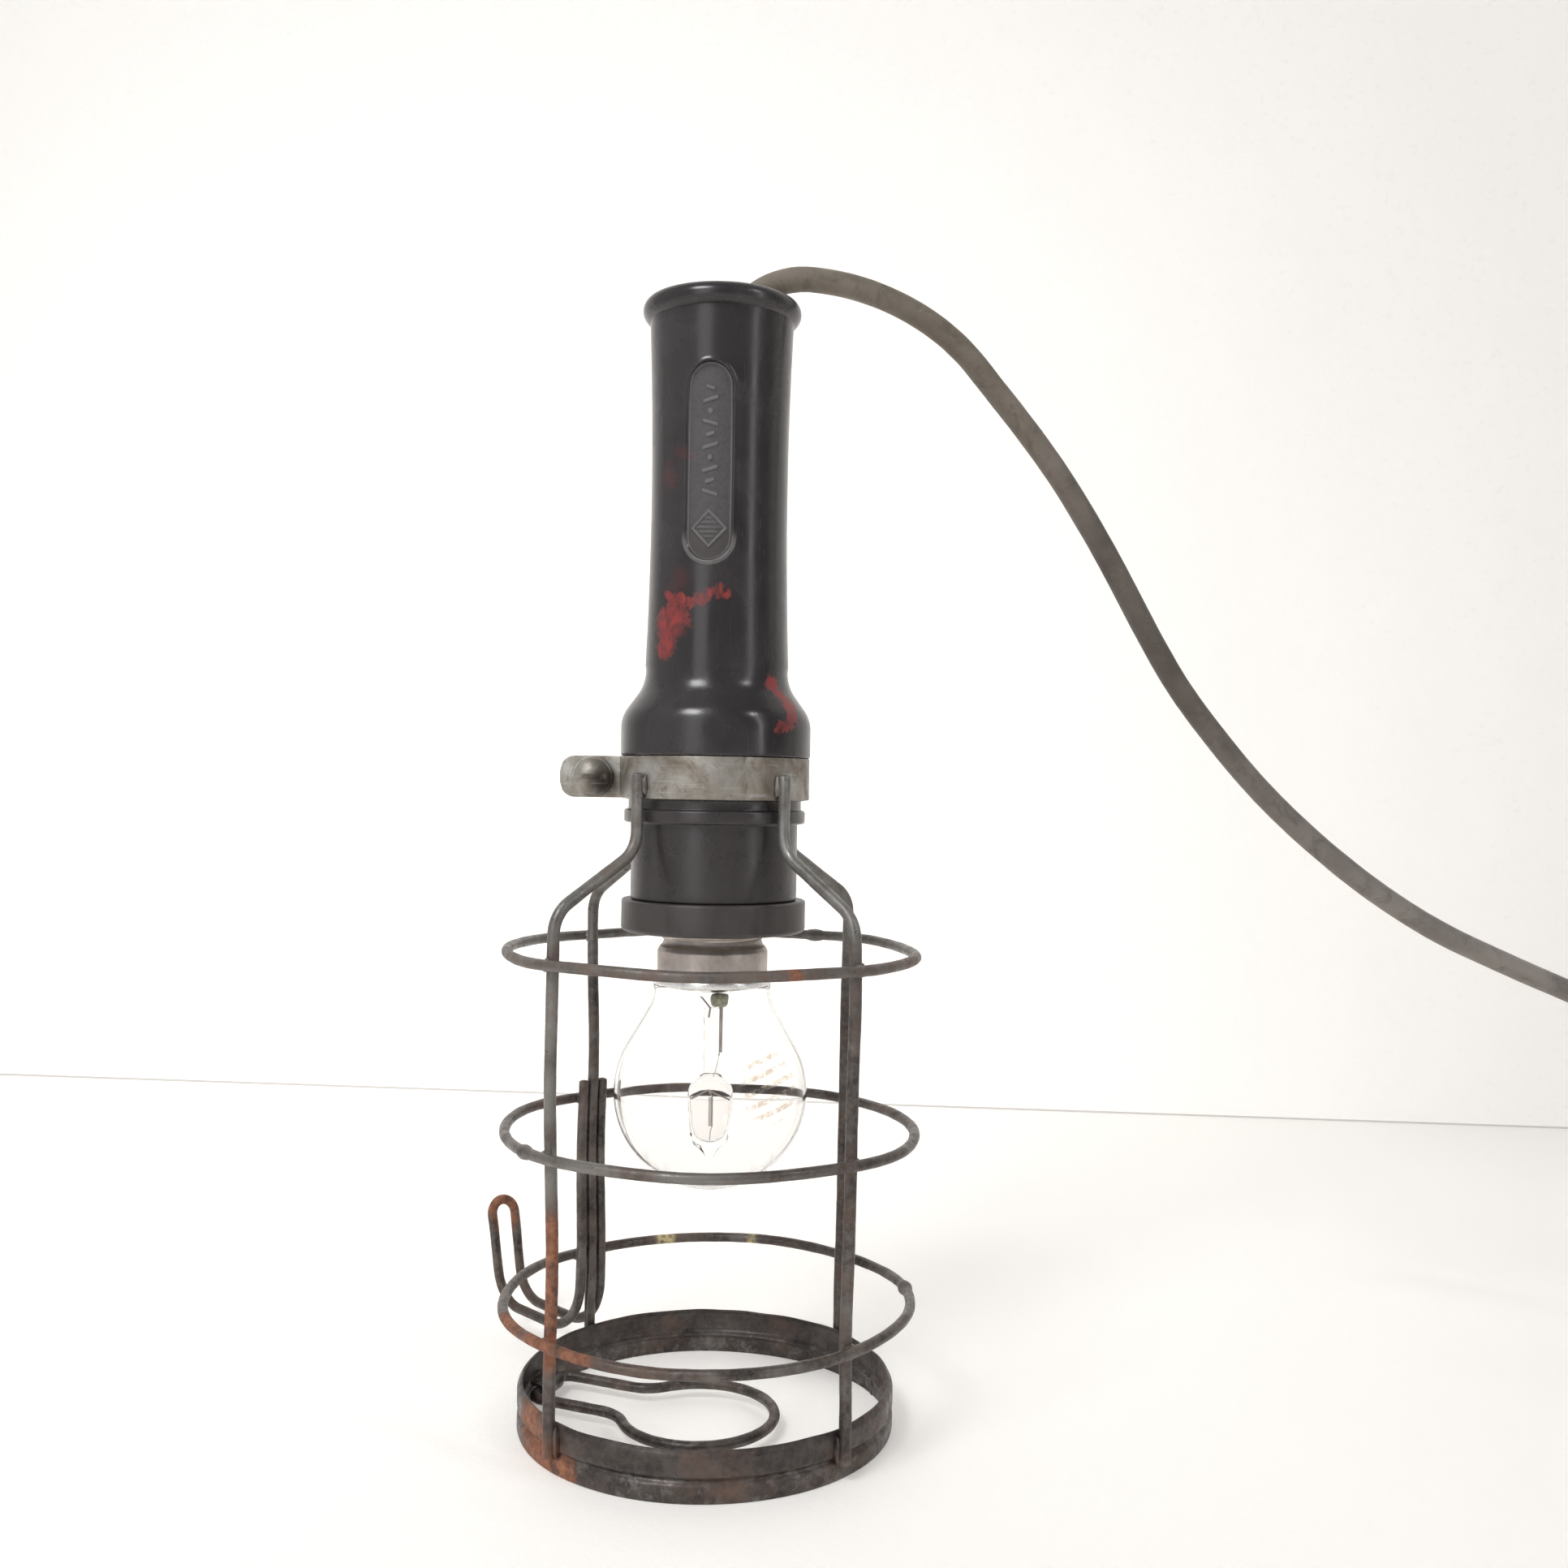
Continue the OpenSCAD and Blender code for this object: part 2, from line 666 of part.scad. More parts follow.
// Two round pins with bullet noses and a cross hole for each core's screw
module plug_pins() {
    color(nickel) plug_place() for (side = [-1, 1])
        translate([side * pin_spacing / 2, 0, 22]) difference() {
            rotate_extrude() polygon(concat(
                [[0, 0], [pin_neck_r, 0], [pin_neck_r, plug_face - 22], [pin_d / 2, plug_face - 22]],
                arc([0, plug_face - 22 + pin_length - pin_d / 2], pin_d / 2, 0, 90, 8)));
            translate([0, 0, -1]) cylinder(h = 4, r = 1.2);
            translate([0, 0, 1.8]) rotate([90, 0, 0]) cylinder(h = 5, r = 0.9);
        }
}

module plug_pin_screws() {
    color(nickel) plug_place() for (side = [-1, 1])
        translate([side * pin_spacing / 2, -3.4, 23.8]) rotate([-90, 0, 0])
            slotted_screw(1.6, 1.2, 0.88, 1.2);
}

// Screw that holds the base and the cover together
module plug_screw() {
    color(nickel) plug_place() translate([0, 0, plug_face - 0.3]) rotate([180, 0, 0])
        slotted_screw(3, 1.45, 1.5, 14);
}

clamp_band();
clamp_nut();
clamp_washer();
clamp_screw();
cage_rod(front_left);  // cage_rod_front_left
cage_rod(front_right);  // cage_rod_front_right
cage_rod(rear_left);  // cage_rod_rear_left
cage_rod(rear_right);  // cage_rod_rear_right
cage_hoop(hoop_zs[2]);  // cage_hoop_upper
cage_hoop(hoop_zs[1]);  // cage_hoop_middle
cage_hoop(hoop_zs[0]);  // cage_hoop_lower
end_ring();
side_hook();
loop_clip();
hanging_loop();
handle_shell();
retaining_ring();
holder_insert();
screw_shell();
centre_contact();
contact_rivet();
shell_rivet();
live_terminal();
neutral_terminal();
terminal_screws();
cord_grip_front();
cord_grip_rear();
cord_grip_screws();
cable_bush();
cable_inner();
live_core();
neutral_core();
bulb_glass();
bulb_cap();
bulb_cap_insulator();
bulb_tip_contact();
halogen_capsule();
filament();
capsule_stem();
lead_wires();
cable_outer();
plug_cover();
plug_base();
plug_pins();
plug_pin_screws();
plug_screw();
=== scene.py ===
"""Looks of a caged hand lamp, built round its CAD frame. Lengths are millimetres until a mesh is made."""

import math

import bmesh
import bpy
import numpy as np
from mathutils import Matrix, Vector, noise


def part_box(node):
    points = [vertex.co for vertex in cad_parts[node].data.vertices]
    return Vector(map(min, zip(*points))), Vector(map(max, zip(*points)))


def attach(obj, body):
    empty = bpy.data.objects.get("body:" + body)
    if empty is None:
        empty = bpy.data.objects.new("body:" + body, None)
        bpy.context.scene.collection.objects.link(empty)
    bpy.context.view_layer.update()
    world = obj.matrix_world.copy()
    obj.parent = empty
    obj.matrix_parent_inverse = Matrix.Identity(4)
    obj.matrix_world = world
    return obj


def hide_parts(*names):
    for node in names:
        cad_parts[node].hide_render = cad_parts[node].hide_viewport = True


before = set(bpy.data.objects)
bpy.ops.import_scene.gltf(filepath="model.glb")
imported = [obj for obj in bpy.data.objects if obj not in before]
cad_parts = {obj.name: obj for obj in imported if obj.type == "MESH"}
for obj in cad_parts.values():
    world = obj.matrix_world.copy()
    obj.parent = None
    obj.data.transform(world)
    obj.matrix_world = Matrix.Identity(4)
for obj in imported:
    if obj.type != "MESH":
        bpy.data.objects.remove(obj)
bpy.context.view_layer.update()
MM = 0.001


def node_box(node):
    """Lowest and highest corner of a CAD node, in millimetres."""
    low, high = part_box(node)
    return np.array(low) / MM, np.array(high) / MM


# ---- sizes, from the frame where it has them

BAND_LOW, BAND_HIGH = node_box("clamp_band")
BAND_MID_Z = (BAND_LOW[2] + BAND_HIGH[2]) / 2
TOP_Z = node_box("handle_shell")[1][2]
FOOT_RING_H = node_box("end_ring")[1][2]
FOOT_RING_R = 45.0
HOOP_Z = {}
HOOP_R = {}
for level in ("upper", "middle", "lower"):
    low, high = node_box("cage_hoop_" + level)
    HOOP_Z[level] = (low[2] + high[2]) / 2
    HOOP_R[level] = high[0] - (high[2] - low[2]) / 2

# Cage wires and sheet, and the uprights' corners as (distance from the axis, height)
ROD_R = 1.4
HOOP_WIRE_R = 1.25
SHEET = 0.8
ROD_FOOT = np.array([46.3, 4.0])
ROD_BEND = np.array([47.1, 124.0])
ROD_NECK = np.array([24.0, 138.0])
ROD_TOP_Z = 156.0
CAGE_LEAN = (ROD_BEND[0] - ROD_FOOT[0]) / (ROD_BEND[1] - ROD_FOOT[1])
RODS = {"front_left": -45, "front_right": 45, "rear_left": -135, "rear_right": 135}
HOOK_LOW_Z = 8.6
HOOK_TOP_Z = 75

# The hanging loop: its plane, turn and shift in the ring, and the hinge bar's place along it
LOOP_Z = 3.6
LOOP_TURN = math.radians(-21.4)
LOOP_SHIFT = -6.1
LOOP_HINGE = -40.4

# The clamp
BAND_BORE = 21.9
SCREW_X = -29.4
LUG_GAP = 3.0

# The handle and the marked panel in its grip
GRIP_WAIST_Z = 222.5
RIM_BEAD_R = 2.8
PANEL_AZIMUTH = -5.5
PANEL_Z = 228.5
PANEL_HALF = 5.25
PANEL_LONG = 22.85
PANEL_FLOOR = 15.7
PANEL_SKIN_R = 16.6

# The bulb's ball, neck and screw cap
BALL_Z = 79.5
BALL_R = 23.3
BULB_NECK_R = 14.2
SHOULDER_R = 8
CAP_SHEET = 0.35
THREAD_PITCH = 3.6

# The cable and plug
CABLE_TURN = 13.6
CABLE_R = 3.0
PLUG_ORIGIN = (277.0, 24.0, 18.0)
PLUG_R = 18.0
PLUG_FACE_Z = 37
PIN_OFFSET = 9.5

# The wall behind the lamp, and the strip of painted shadow at its foot, in metres
WALL_Y = 0.372
SHADOW_LINE_H = 0.0009


# ---- curves and meshes

# Least distance of a turned point from its axis, so that no two points fall together
OFF_AXIS = 0.002


def unit(v):
    return v / np.linalg.norm(v)


def rounded_path(corners, radii, step=0.8, straight_step=2.0, closed=False):
    """Points along a 2-D or 3-D path through the corners, with each inner corner rounded."""
    corners = [np.array(c, float) for c in corners]
    if not closed:
        radii = [0, *radii, 0]
    points = []
    for i, (corner, radius) in enumerate(zip(corners, radii)):
        before = unit(corner - corners[i - 1])
        after = unit(corners[(i + 1) % len(corners)] - corner)
        turn = math.acos(np.clip(before @ after, -1, 1))
        if radius <= 0 or turn < 1e-4:
            points.append(corner)
            continue
        start = -before * radius * math.tan(turn / 2)
        to_centre = unit(after - before) * radius / math.cos(turn / 2)
        steps = max(4, int(math.ceil(radius * turn / step)))
        for k in range(steps + 1):
            a = turn * k / steps
            sweep = (start - to_centre) * math.cos(a) + before * radius * math.sin(a)
            points.append(corner + to_centre + sweep)
    return fill(points, straight_step, closed)


def fill(points, step, closed=False):
    """Adds points to a path so that no stretch is longer than a step."""
    points = [np.array(p, float) for p in points]
    if closed:
        points.append(points[0])
    filled = [points[0]]
    for a, b in zip(points, points[1:]):
        pieces = max(1, int(math.ceil(np.linalg.norm(b - a) / step)))
        filled += [a + (b - a) * k / pieces for k in range(1, pieces + 1)]
    return np.array(filled[:-1] if closed else filled)


def smooth_curve(points, steps):
    """Points along a smooth curve through the given ones."""
    points = np.array(points, float)
    padded = np.concatenate([points[:1], points, points[-1:]])
    curve = []
    for a, b, c, d in zip(padded, padded[1:], padded[2:], padded[3:]):
        for k in range(steps):
            t = k / steps
            slope = (c - a) * t
            curl = (2 * a - 5 * b + 4 * c - d) * t ** 2 + (3 * b - a - 3 * c + d) * t ** 3
            curve.append(0.5 * (2 * b + slope + curl))
    curve.append(points[-1])
    return curve


def arc(centre, radius, start, end, steps=12):
    """Points of a plane arc, from one angle to another in degrees."""
    angles = np.radians(np.linspace(start, end, steps + 1))
    return [(centre[0] + radius * math.cos(a), centre[1] + radius * math.sin(a)) for a in angles]


def ring_point(azimuth, radius, z):
    """A point at an azimuth from the front, a distance from the axis and a height."""
    a = math.radians(azimuth)
    return np.array([radius * math.sin(a), -radius * math.cos(a), z])


def outward(azimuth):
    return ring_point(azimuth, 1.0, 0.0)


def along(azimuth):
    return ring_point(azimuth + 90, 1.0, 0.0)


def stand_up(points, azimuth, origin=(0, 0, 0)):
    """Points (outward, up) or (outward, up, across) at an azimuth, as points in space."""
    points = np.array(points, float)
    across = points[:, 2:3] * along(azimuth) if points.shape[1] == 3 else 0
    return np.array(origin) + points[:, 0:1] * outward(azimuth) + points[:, 1:2] * (0, 0, 1) + across


def facing_front(shape, origin):
    """Turns an upright shape's top to the front, and sets it at an origin."""
    vertices, faces = shape
    return np.array(origin) + np.stack([vertices[:, 0], -vertices[:, 2], vertices[:, 1]], axis=1), faces


def smoothstep(low, high, x):
    t = np.clip((x - low) / (high - low), 0, 1)
    return float(t * t * (3 - 2 * t))


def between(low, low_end, high_start, high, x):
    """1 over a stretch, easing from and to 0 at its ends."""
    return smoothstep(low, low_end, x) * (1 - smoothstep(high_start, high, x))


def wobble(point, scale, amount, seed):
    """A smooth small offset in space, the same on every run."""
    x, y, z = (c / scale for c in point)
    axes = [noise.noise((x + 7.3 * seed + s, y - 3.1 * seed, z + 1.7 * seed)) for s in (0.0, 31.7, 63.4)]
    return np.array(axes) * amount


def round_noise(a, z, turns, size=1.0):
    """Smooth noise over a turned surface, from an angle and a height."""
    return noise.noise((turns * math.sin(a), turns * math.cos(a), z / size))


def bell(x, centre, width, power=2):
    """A bump of height 1 at the centre."""
    return math.exp(-(((x - centre) / width) ** power))


def grid_faces(rows, columns, close_rows=False):
    """Faces of a grid of vertices numbered row by row, whose rows close up."""
    faces = []
    for i in range(rows if close_rows else rows - 1):
        for j in range(columns):
            here, there = i * columns, (i + 1) % rows * columns
            k = (j + 1) % columns
            faces.append((here + j, here + k, there + k, there + j))
    return faces


def skin(rings, closed=False):
    """A shape (vertices, faces) over rings of points, with end faces unless the rings close up."""
    columns = len(rings[0])
    vertices = np.array(rings).reshape(-1, 3)
    faces = grid_faces(len(rings), columns, closed)
    if not closed:
        faces.append(tuple(range(columns - 1, -1, -1)))
        faces.append(tuple(range(len(vertices) - columns, len(vertices))))
    return vertices, faces


def join(shapes):
    """One shape out of several."""
    vertices, faces, offset = [], [], 0
    for v, f in shapes:
        vertices.append(v)
        faces += [tuple(i + offset for i in face) for face in f]
        offset += len(v)
    return np.concatenate(vertices), faces


def tube(points, radius, sides=20, closed=False, swell=0.0, seed=1, thickness=None):
    """A wire with rounded ends. swell varies its radius, and thickness(share of the length) scales it."""
    points = np.array(points, float)
    count = len(points)
    if closed:
        tangents = np.array([unit(points[(i + 1) % count] - points[i - 1]) for i in range(count)])
    else:
        tangents = np.gradient(points, axis=0)
        tangents /= np.linalg.norm(tangents, axis=1)[:, None]
    across = unit(np.cross(tangents[0], [0.31, 0.17, 0.93]))
    frames = []
    for t in tangents:
        across = unit(across - t * (across @ t))
        frames.append(across)
    twist = 0.0
    if closed:
        end = unit(frames[-1] - tangents[0] * (frames[-1] @ tangents[0]))
        twist = math.atan2(np.cross(end, frames[0]) @ tangents[0], end @ frames[0])
    rings = []
    for i, (p, t, u) in enumerate(zip(points, tangents, frames)):
        v = np.cross(t, u)
        r = radius * (1 + swell * noise.noise(Vector(p / 4.0) + Vector((seed, 0, 0))))
        if thickness:
            r *= thickness(i / count)
        angles = [2 * math.pi * k / sides + twist * i / count for k in range(sides)]
        rings.append([p + (u * math.cos(a) + v * math.sin(a)) * r for a in angles])
    return skin(rings if closed else end_caps(rings, points, tangents, radius), closed)


def end_caps(rings, points, tangents, radius, bulge=0.45):
    """Rounds both ends of a wire with shrinking rings."""
    first, last = [], []
    for share in (0.97, 0.85, 0.62, 0.3):
        lift = math.sqrt(1 - share * share) * radius * bulge
        first.insert(0, [points[0] + (q - points[0]) * share - tangents[0] * lift for q in rings[0]])
        last.append([points[-1] + (q - points[-1]) * share + tangents[-1] * lift for q in rings[-1]])
    return first + rings + last


def revolve(outline, segments=128, centre=(0, 0), angles=None, press=None):
    """Turns a closed outline of (radius, height) about an upright axis. press(r, z, a) may move a point."""
    if angles is None:
        angles = np.linspace(0, 2 * math.pi, segments, endpoint=False)
    vertices = []
    for r, z in outline:
        for a in angles:
            rr, zz = press(r, z, a) if press else (r, z)
            rr = max(rr, OFF_AXIS)
            vertices.append((centre[0] + rr * math.sin(a), centre[1] - rr * math.cos(a), zz))
    return np.array(vertices), grid_faces(len(outline), len(angles), close_rows=True)


def blob(centre, size, seed, rough=0.18, rings=9, sides=14, axis=(0, 0, 1)):
    """A lumpy bead."""
    turn = np.array(Vector((0, 0, 1)).rotation_difference(Vector(axis)).to_matrix())
    rows = []
    for i in range(rings):
        polar = math.pi * (i + 0.5) / rings
        row = []
        for k in range(sides):
            a = 2 * math.pi * k / sides
            d = np.array([math.sin(polar) * math.cos(a), math.sin(polar) * math.sin(a), math.cos(polar)])
            lump = 1 + rough * noise.noise(Vector(d * 1.6) + Vector((seed * 3.7, seed, 0)))
            row.append(np.array(centre) + turn @ (d * np.array(size)) * lump)
        rows.append(row)
    return skin(rows)


def sheet(path, width_dir, thickness, half_width, edge=0.25):
    """A strip of sheet along a path, as wide as half_width(distance from the nearer end), edges eased."""
    path = np.array(path, float)
    width_dir = unit(np.array(width_dir, float))
    tangents = np.gradient(path, axis=0)
    tangents /= np.linalg.norm(tangents, axis=1)[:, None]
    run = np.concatenate([[0], np.cumsum(np.linalg.norm(np.diff(path, axis=0), axis=1))])
    half_t = thickness / 2 - edge
    rings = []
    for p, t, s in zip(path, tangents, run):
        normal = np.cross(t, width_dir)
        half_w = half_width(min(s, run[-1] - s)) - edge
        ring = []
        for side_t, side_w, start in ((1, 1, 0), (-1, 1, 90), (-1, -1, 180), (1, -1, 270)):
            for q in arc((side_t * half_t, side_w * half_w), edge, start, start + 90, 3):
                ring.append(p + normal * q[0] + width_dir * q[1])
        rings.append(ring)
    return skin(rings)


def cylinder(radius, low, high, segments=32):
    """A plain cylinder round the vertical axis."""
    return revolve([(0, low), (radius, low), (radius, high), (0, high)], segments)


def box_shape(low, high):
    """A plain box between two corners."""
    corners = [(x, y, z) for x in (low[0], high[0]) for y in (low[1], high[1]) for z in (low[2], high[2])]
    faces = [(0, 1, 3, 2), (4, 6, 7, 5), (0, 4, 5, 1), (2, 3, 7, 6), (0, 2, 6, 4), (1, 5, 7, 3)]
    return np.array(corners), faces


def threaded_rod(radius, depth, pitch, low, high, rows=140):
    """A rod with a helical thread round the vertical axis."""
    def press(r, z, a):
        if r < radius / 2:
            return r, z
        fade = between(low, low + pitch, high - pitch, high, z)
        return r - depth * (1 - fade * (0.5 + 0.5 * math.cos(2 * math.pi * z / pitch - a))), z

    side = [(radius, z) for z in np.linspace(low, high, rows + 1)]
    return revolve([(0, low), *side, (0, high)], 40, press=press)


def new_object(name, shape):
    """A linked mesh object from a shape, with every face turned outward."""
    vertices, faces = shape
    mesh = bpy.data.meshes.new(name)
    mesh.from_pydata([tuple(v) for v in np.array(vertices) * MM], [], faces)
    edit = bmesh.new()
    edit.from_mesh(mesh)
    bmesh.ops.recalc_face_normals(edit, faces=edit.faces)
    edit.to_mesh(mesh)
    edit.free()
    made = bpy.data.objects.new(name, mesh)
    bpy.context.scene.collection.objects.link(made)
    return made


def make_piece(name, shape, body, finish, *replaced):
    """A smooth-shaded piece in a finish's material (its slot is not used), riding on a body and standing for
    CAD nodes.
    """
    piece = new_object(name, shape)
    material, slot = finish
    piece.data.polygons.foreach_set("use_smooth", [True] * len(piece.data.polygons))
    piece.data.set_sharp_from_angle(angle=math.radians(40))
    piece.data.materials.append(material)
    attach(piece, body)
    if replaced:
        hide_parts(*replaced)
    return piece


def carve(piece, shape):
    """Cuts a closed shape out of a piece."""
    cutter = new_object("cutter", shape)
    cut = piece.modifiers.new("carve", "BOOLEAN")
    cut.operation = "DIFFERENCE"
    cut.solver = "EXACT"
    cut.object = cutter
    carved = bpy.data.meshes.new_from_object(piece.evaluated_get(bpy.context.evaluated_depsgraph_get()))
    piece.modifiers.clear()
    piece.data = carved
    bpy.data.objects.remove(cutter)
    piece.data.set_sharp_from_angle(angle=math.radians(35))


def ease_edges(piece, width=0.15):
    """Breaks a piece's sharp edges."""
    bevel = piece.modifiers.new("bevel", "BEVEL")
    bevel.width = width * MM
    bevel.segments = 2
    bevel.limit_method = "ANGLE"
    bevel.angle_limit = math.radians(40)


# ---- materials

class Material:
    """A node material under construction, whose tone is the colour so far."""

    def __init__(self, name, slot=None):
        self.material = bpy.data.materials.new(name)
        self.slot = slot or name
        self.material.use_nodes = True
        self.tree = self.material.node_tree
        self.tree.nodes.clear()
        self.bsdf = self.node("BsdfPrincipled")
        self.out = self.node("OutputMaterial", {"Surface": self.bsdf.outputs["BSDF"]})
        self.place = self.node("TexCoord").outputs["Object"]

    def node(self, kind, inputs=None, **settings):
        """A shader node with settings, and inputs given as values or as other nodes' outputs."""
        made = self.tree.nodes.new("ShaderNode" + kind)
        for key, value in settings.items():
            setattr(made, key, value)
        for key, value in (inputs or {}).items():
            self.feed(made.inputs[key], value)
        return made

    def feed(self, socket, value):
        if isinstance(value, bpy.types.NodeSocket):
            self.tree.links.new(value, socket)
        elif isinstance(value, tuple) and len(value) < len(socket.default_value):
            socket.default_value = (*value, 1.0)
        else:
            socket.default_value = value

    def noise(self, size_mm, detail=4.0, roughness=0.55, distortion=0.0, stretch=None):
        """Fractal noise with features up to about size_mm across, longer where the stretch is below 1."""
        place = self.place
        if stretch:
            place = self.node("Mapping", {"Vector": place, "Scale": stretch}).outputs["Vector"]
        shape = {"Detail": detail, "Roughness": roughness, "Distortion": distortion}
        return self.node("TexNoise", {"Vector": place, "Scale": 1 / (size_mm * MM), **shape}).outputs["Fac"]

    def ramp(self, value, *stops):
        """Maps a value through stops of (position, number or colour)."""
        made = self.node("ValToRGB", {"Fac": value})
        elements = made.color_ramp.elements
        while len(elements) < len(stops):
            elements.new(0.5)
        for element, (position, colour) in zip(elements, stops):
            element.position = position
            element.color = (*colour, 1.0) if isinstance(colour, tuple) else (colour, colour, colour, 1.0)
        return made.outputs["Color"]

    def patches(self, size_mm, low, high, share=1.0, detail=5, roughness=0.7, distortion=0.0, stretch=None):
        """Noise cut to patches: 0 below one level of it, rising to a share at another."""
        cloud = self.noise(size_mm, detail, roughness, distortion, stretch)
        return self.ramp(cloud, (low, 0.0), (high, share))

    def math(self, operation, a, b):
        return self.node("Math", {0: a, 1: b}, operation=operation).outputs[0]

    def times(self, first, *others):
        for other in others:
            first = self.math("MULTIPLY", first, other)
        return first

    def largest(self, first, *others):
        for other in others:
            first = self.math("MAXIMUM", first, other)
        return first

    def vector(self, operation, *values):
        """Vector arithmetic. Distances, lengths and dot products come out as numbers."""
        made = self.node("VectorMath", dict(enumerate(values)), operation=operation)
        return made.outputs["Value" if operation in ("DISTANCE", "LENGTH", "DOT_PRODUCT") else "Vector"]

    def mix(self, share, a, b):
        """Mixes two colours by a share."""
        made = self.node("Mix", {"Factor": share, 6: a, 7: b}, data_type="RGBA", clamp_factor=True)
        return made.outputs[2]

    def fall(self, value, low, high):
        """1 up to the low value, easing down to 0 at the high one."""
        inputs = {"Value": value, "From Min": low, "From Max": high, "To Min": 1.0, "To Max": 0.0}
        return self.node("MapRange", inputs, interpolation_type="SMOOTHSTEP").outputs["Result"]

    def height_mm(self):
        """Height above the table, in millimetres."""
        return self.vector("DOT_PRODUCT", self.place, (0, 0, 1 / MM))

    def below(self, low, high):
        """1 below one height in millimetres, easing down to 0 at another."""
        return self.fall(self.height_mm(), low, high)

    def near_axis(self, low, high):
        """1 within one distance of the lamp's axis in millimetres, easing down to 0 at another."""
        level = self.vector("MULTIPLY", self.place, (1 / MM, 1 / MM, 0))
        return self.fall(self.vector("LENGTH", level), low, high)

    def spot(self, centre, radius, soft=0.5, place=None):
        """1 near a point given in millimetres, falling to 0 at the radius."""
        distance = self.vector("DISTANCE", place or self.place, tuple(c * MM for c in centre))
        return self.fall(distance, radius * (1 - soft) * MM, radius * MM)

    def spots(self, centres, soft=0.6, place=None):
        """The strongest of several spots, each (x, y, z, radius) in millimetres."""
        return self.largest(*[self.spot(centre, radius, soft, place) for *centre, radius in centres])

    def ragged_place(self, size_mm, amount_mm):
        """The place shifted by noise, so that a spot measured from it has a ragged outline."""
        reach = amount_mm * MM
        cloud = self.node("TexNoise", {"Vector": self.place, "Scale": 1 / (size_mm * MM), "Detail": 4.0})
        shifted = self.vector("MULTIPLY_ADD", cloud.outputs["Color"], (2 * reach,) * 3, self.place)
        return self.vector("SUBTRACT", shifted, (reach,) * 3)

    def coat(self, share, colour):
        """Lays a share of another colour over the tone."""
        self.tone = self.mix(share, self.tone, colour)

    def finish(self, *bumps, **inputs):
        """Feeds (height, strength, depth in mm) bumps and named inputs, and gives (material, slot)."""
        normal = None
        for height, strength, depth in bumps:
            made = self.node("Bump", {"Height": height, "Strength": strength, "Distance": depth * MM})
            if normal:
                self.feed(made.inputs["Normal"], normal)
            normal = made.outputs["Normal"]
        for name, value in {"Base_Color": self.tone, "Normal": normal, **inputs}.items():
            self.feed(self.bsdf.inputs[name.replace("_", " ")], value)
        return self.material, self.slot


def around(*places):
    """Spots given as (azimuth, distance from the lamp's axis, height, size), for Material.spots."""
    return [(*ring_point(azimuth, radius, z), size) for azimuth, radius, z, size in places]


# Where the cage has rusted through its dull grey skin
RUST = around(
    (-45, 46.5, 52, 8.5), (-45, 46.5, 43, 8.0), (-45, 48.0, 34, 6.5), (-62, 49.0, 29.5, 9.5),
    (-45, 49.0, 29.5, 8.5), (-32, 49.0, 29.5, 6.5), (-60, 45.0, 6.0, 9.0), (-50, 45.5, 4.0, 8.0),
    (-40, 45.5, 1.5, 5.0), (-135, 88.0, 36, 10.0), (-135, 87.0, 30, 6.0), (24, 49.5, 113.2, 2.8),
)
# Where it is paler: the front-left upright and the front of the middle hoop
PALE_PATCHES = around(
    (-45, 46.9, 101, 14.0), (-45, 46.7, 84, 13.0), (-45, 46.6, 67, 11.0), (-28, 49.5, 70.6, 13.0),
    (0, 49.5, 70.6, 15.0),
)
# Thinner brown bloom
BLOOM = around(
    (-20, 49.5, 113.2, 26.0), (20, 49.5, 113.2, 26.0), (-65, 49.5, 113.2, 24.0), (65, 49.5, 113.2, 24.0),
    (-15, 49.0, 29.5, 22.0), (-45, 46.5, 46, 26.0), (-120, 49.0, 70.6, 16.0), (-135, 78.0, 14, 14.0),
    (-50, 45.0, 5.0, 18.0), (10, 45.0, 3.0, 9.0),
)
# Flecks of old varnish at the back of the lower hoop
VARNISH = around((-163, 49, 29.5, 3.4), (169, 49, 29.5, 2.2))
# Red paint brushed on the handle: a patch with a stroke leading off it, and a curl at the foot
PAINT = around(
    (-40, 16.7, 190.5, 6.0), (-30, 16.7, 192.5, 4.6), (-42, 16.8, 186.5, 4.9), (-34, 16.5, 196.5, 3.4),
    (-20, 16.5, 196.0, 2.3), (-13, 16.5, 196.3, 2.1), (-6, 16.5, 196.9, 2.2), (1, 16.5, 197.8, 2.1),
    (6, 16.5, 198.6, 2.0),
    (50, 17.6, 177.5, 2.6), (56, 18.8, 174.8, 3.0), (60, 20.4, 172.4, 3.0), (58, 21.9, 170.0, 2.8),
    (53, 22.7, 168.2, 2.4), (45, 22.8, 167.0, 2.2),
)
TRACES = around((-29, 16.2, 230.0, 3.4), (-43, 16.2, 225.0, 4.2), (-30, 16.6, 201.0, 4.5))
# Brown tarnish on the small metal parts
STAIN = (0.10, 0.08, 0.06)
# Painted shade to the right of and below the clamp screw's head, on the head, the washer and the lug
SCREW_SHADE = [(SCREW_X + 2.6, -3.0, BAND_MID_Z - 0.5, 5.6), (SCREW_X + 2.2, -6.0, BAND_MID_Z - 1.2, 4.2)]


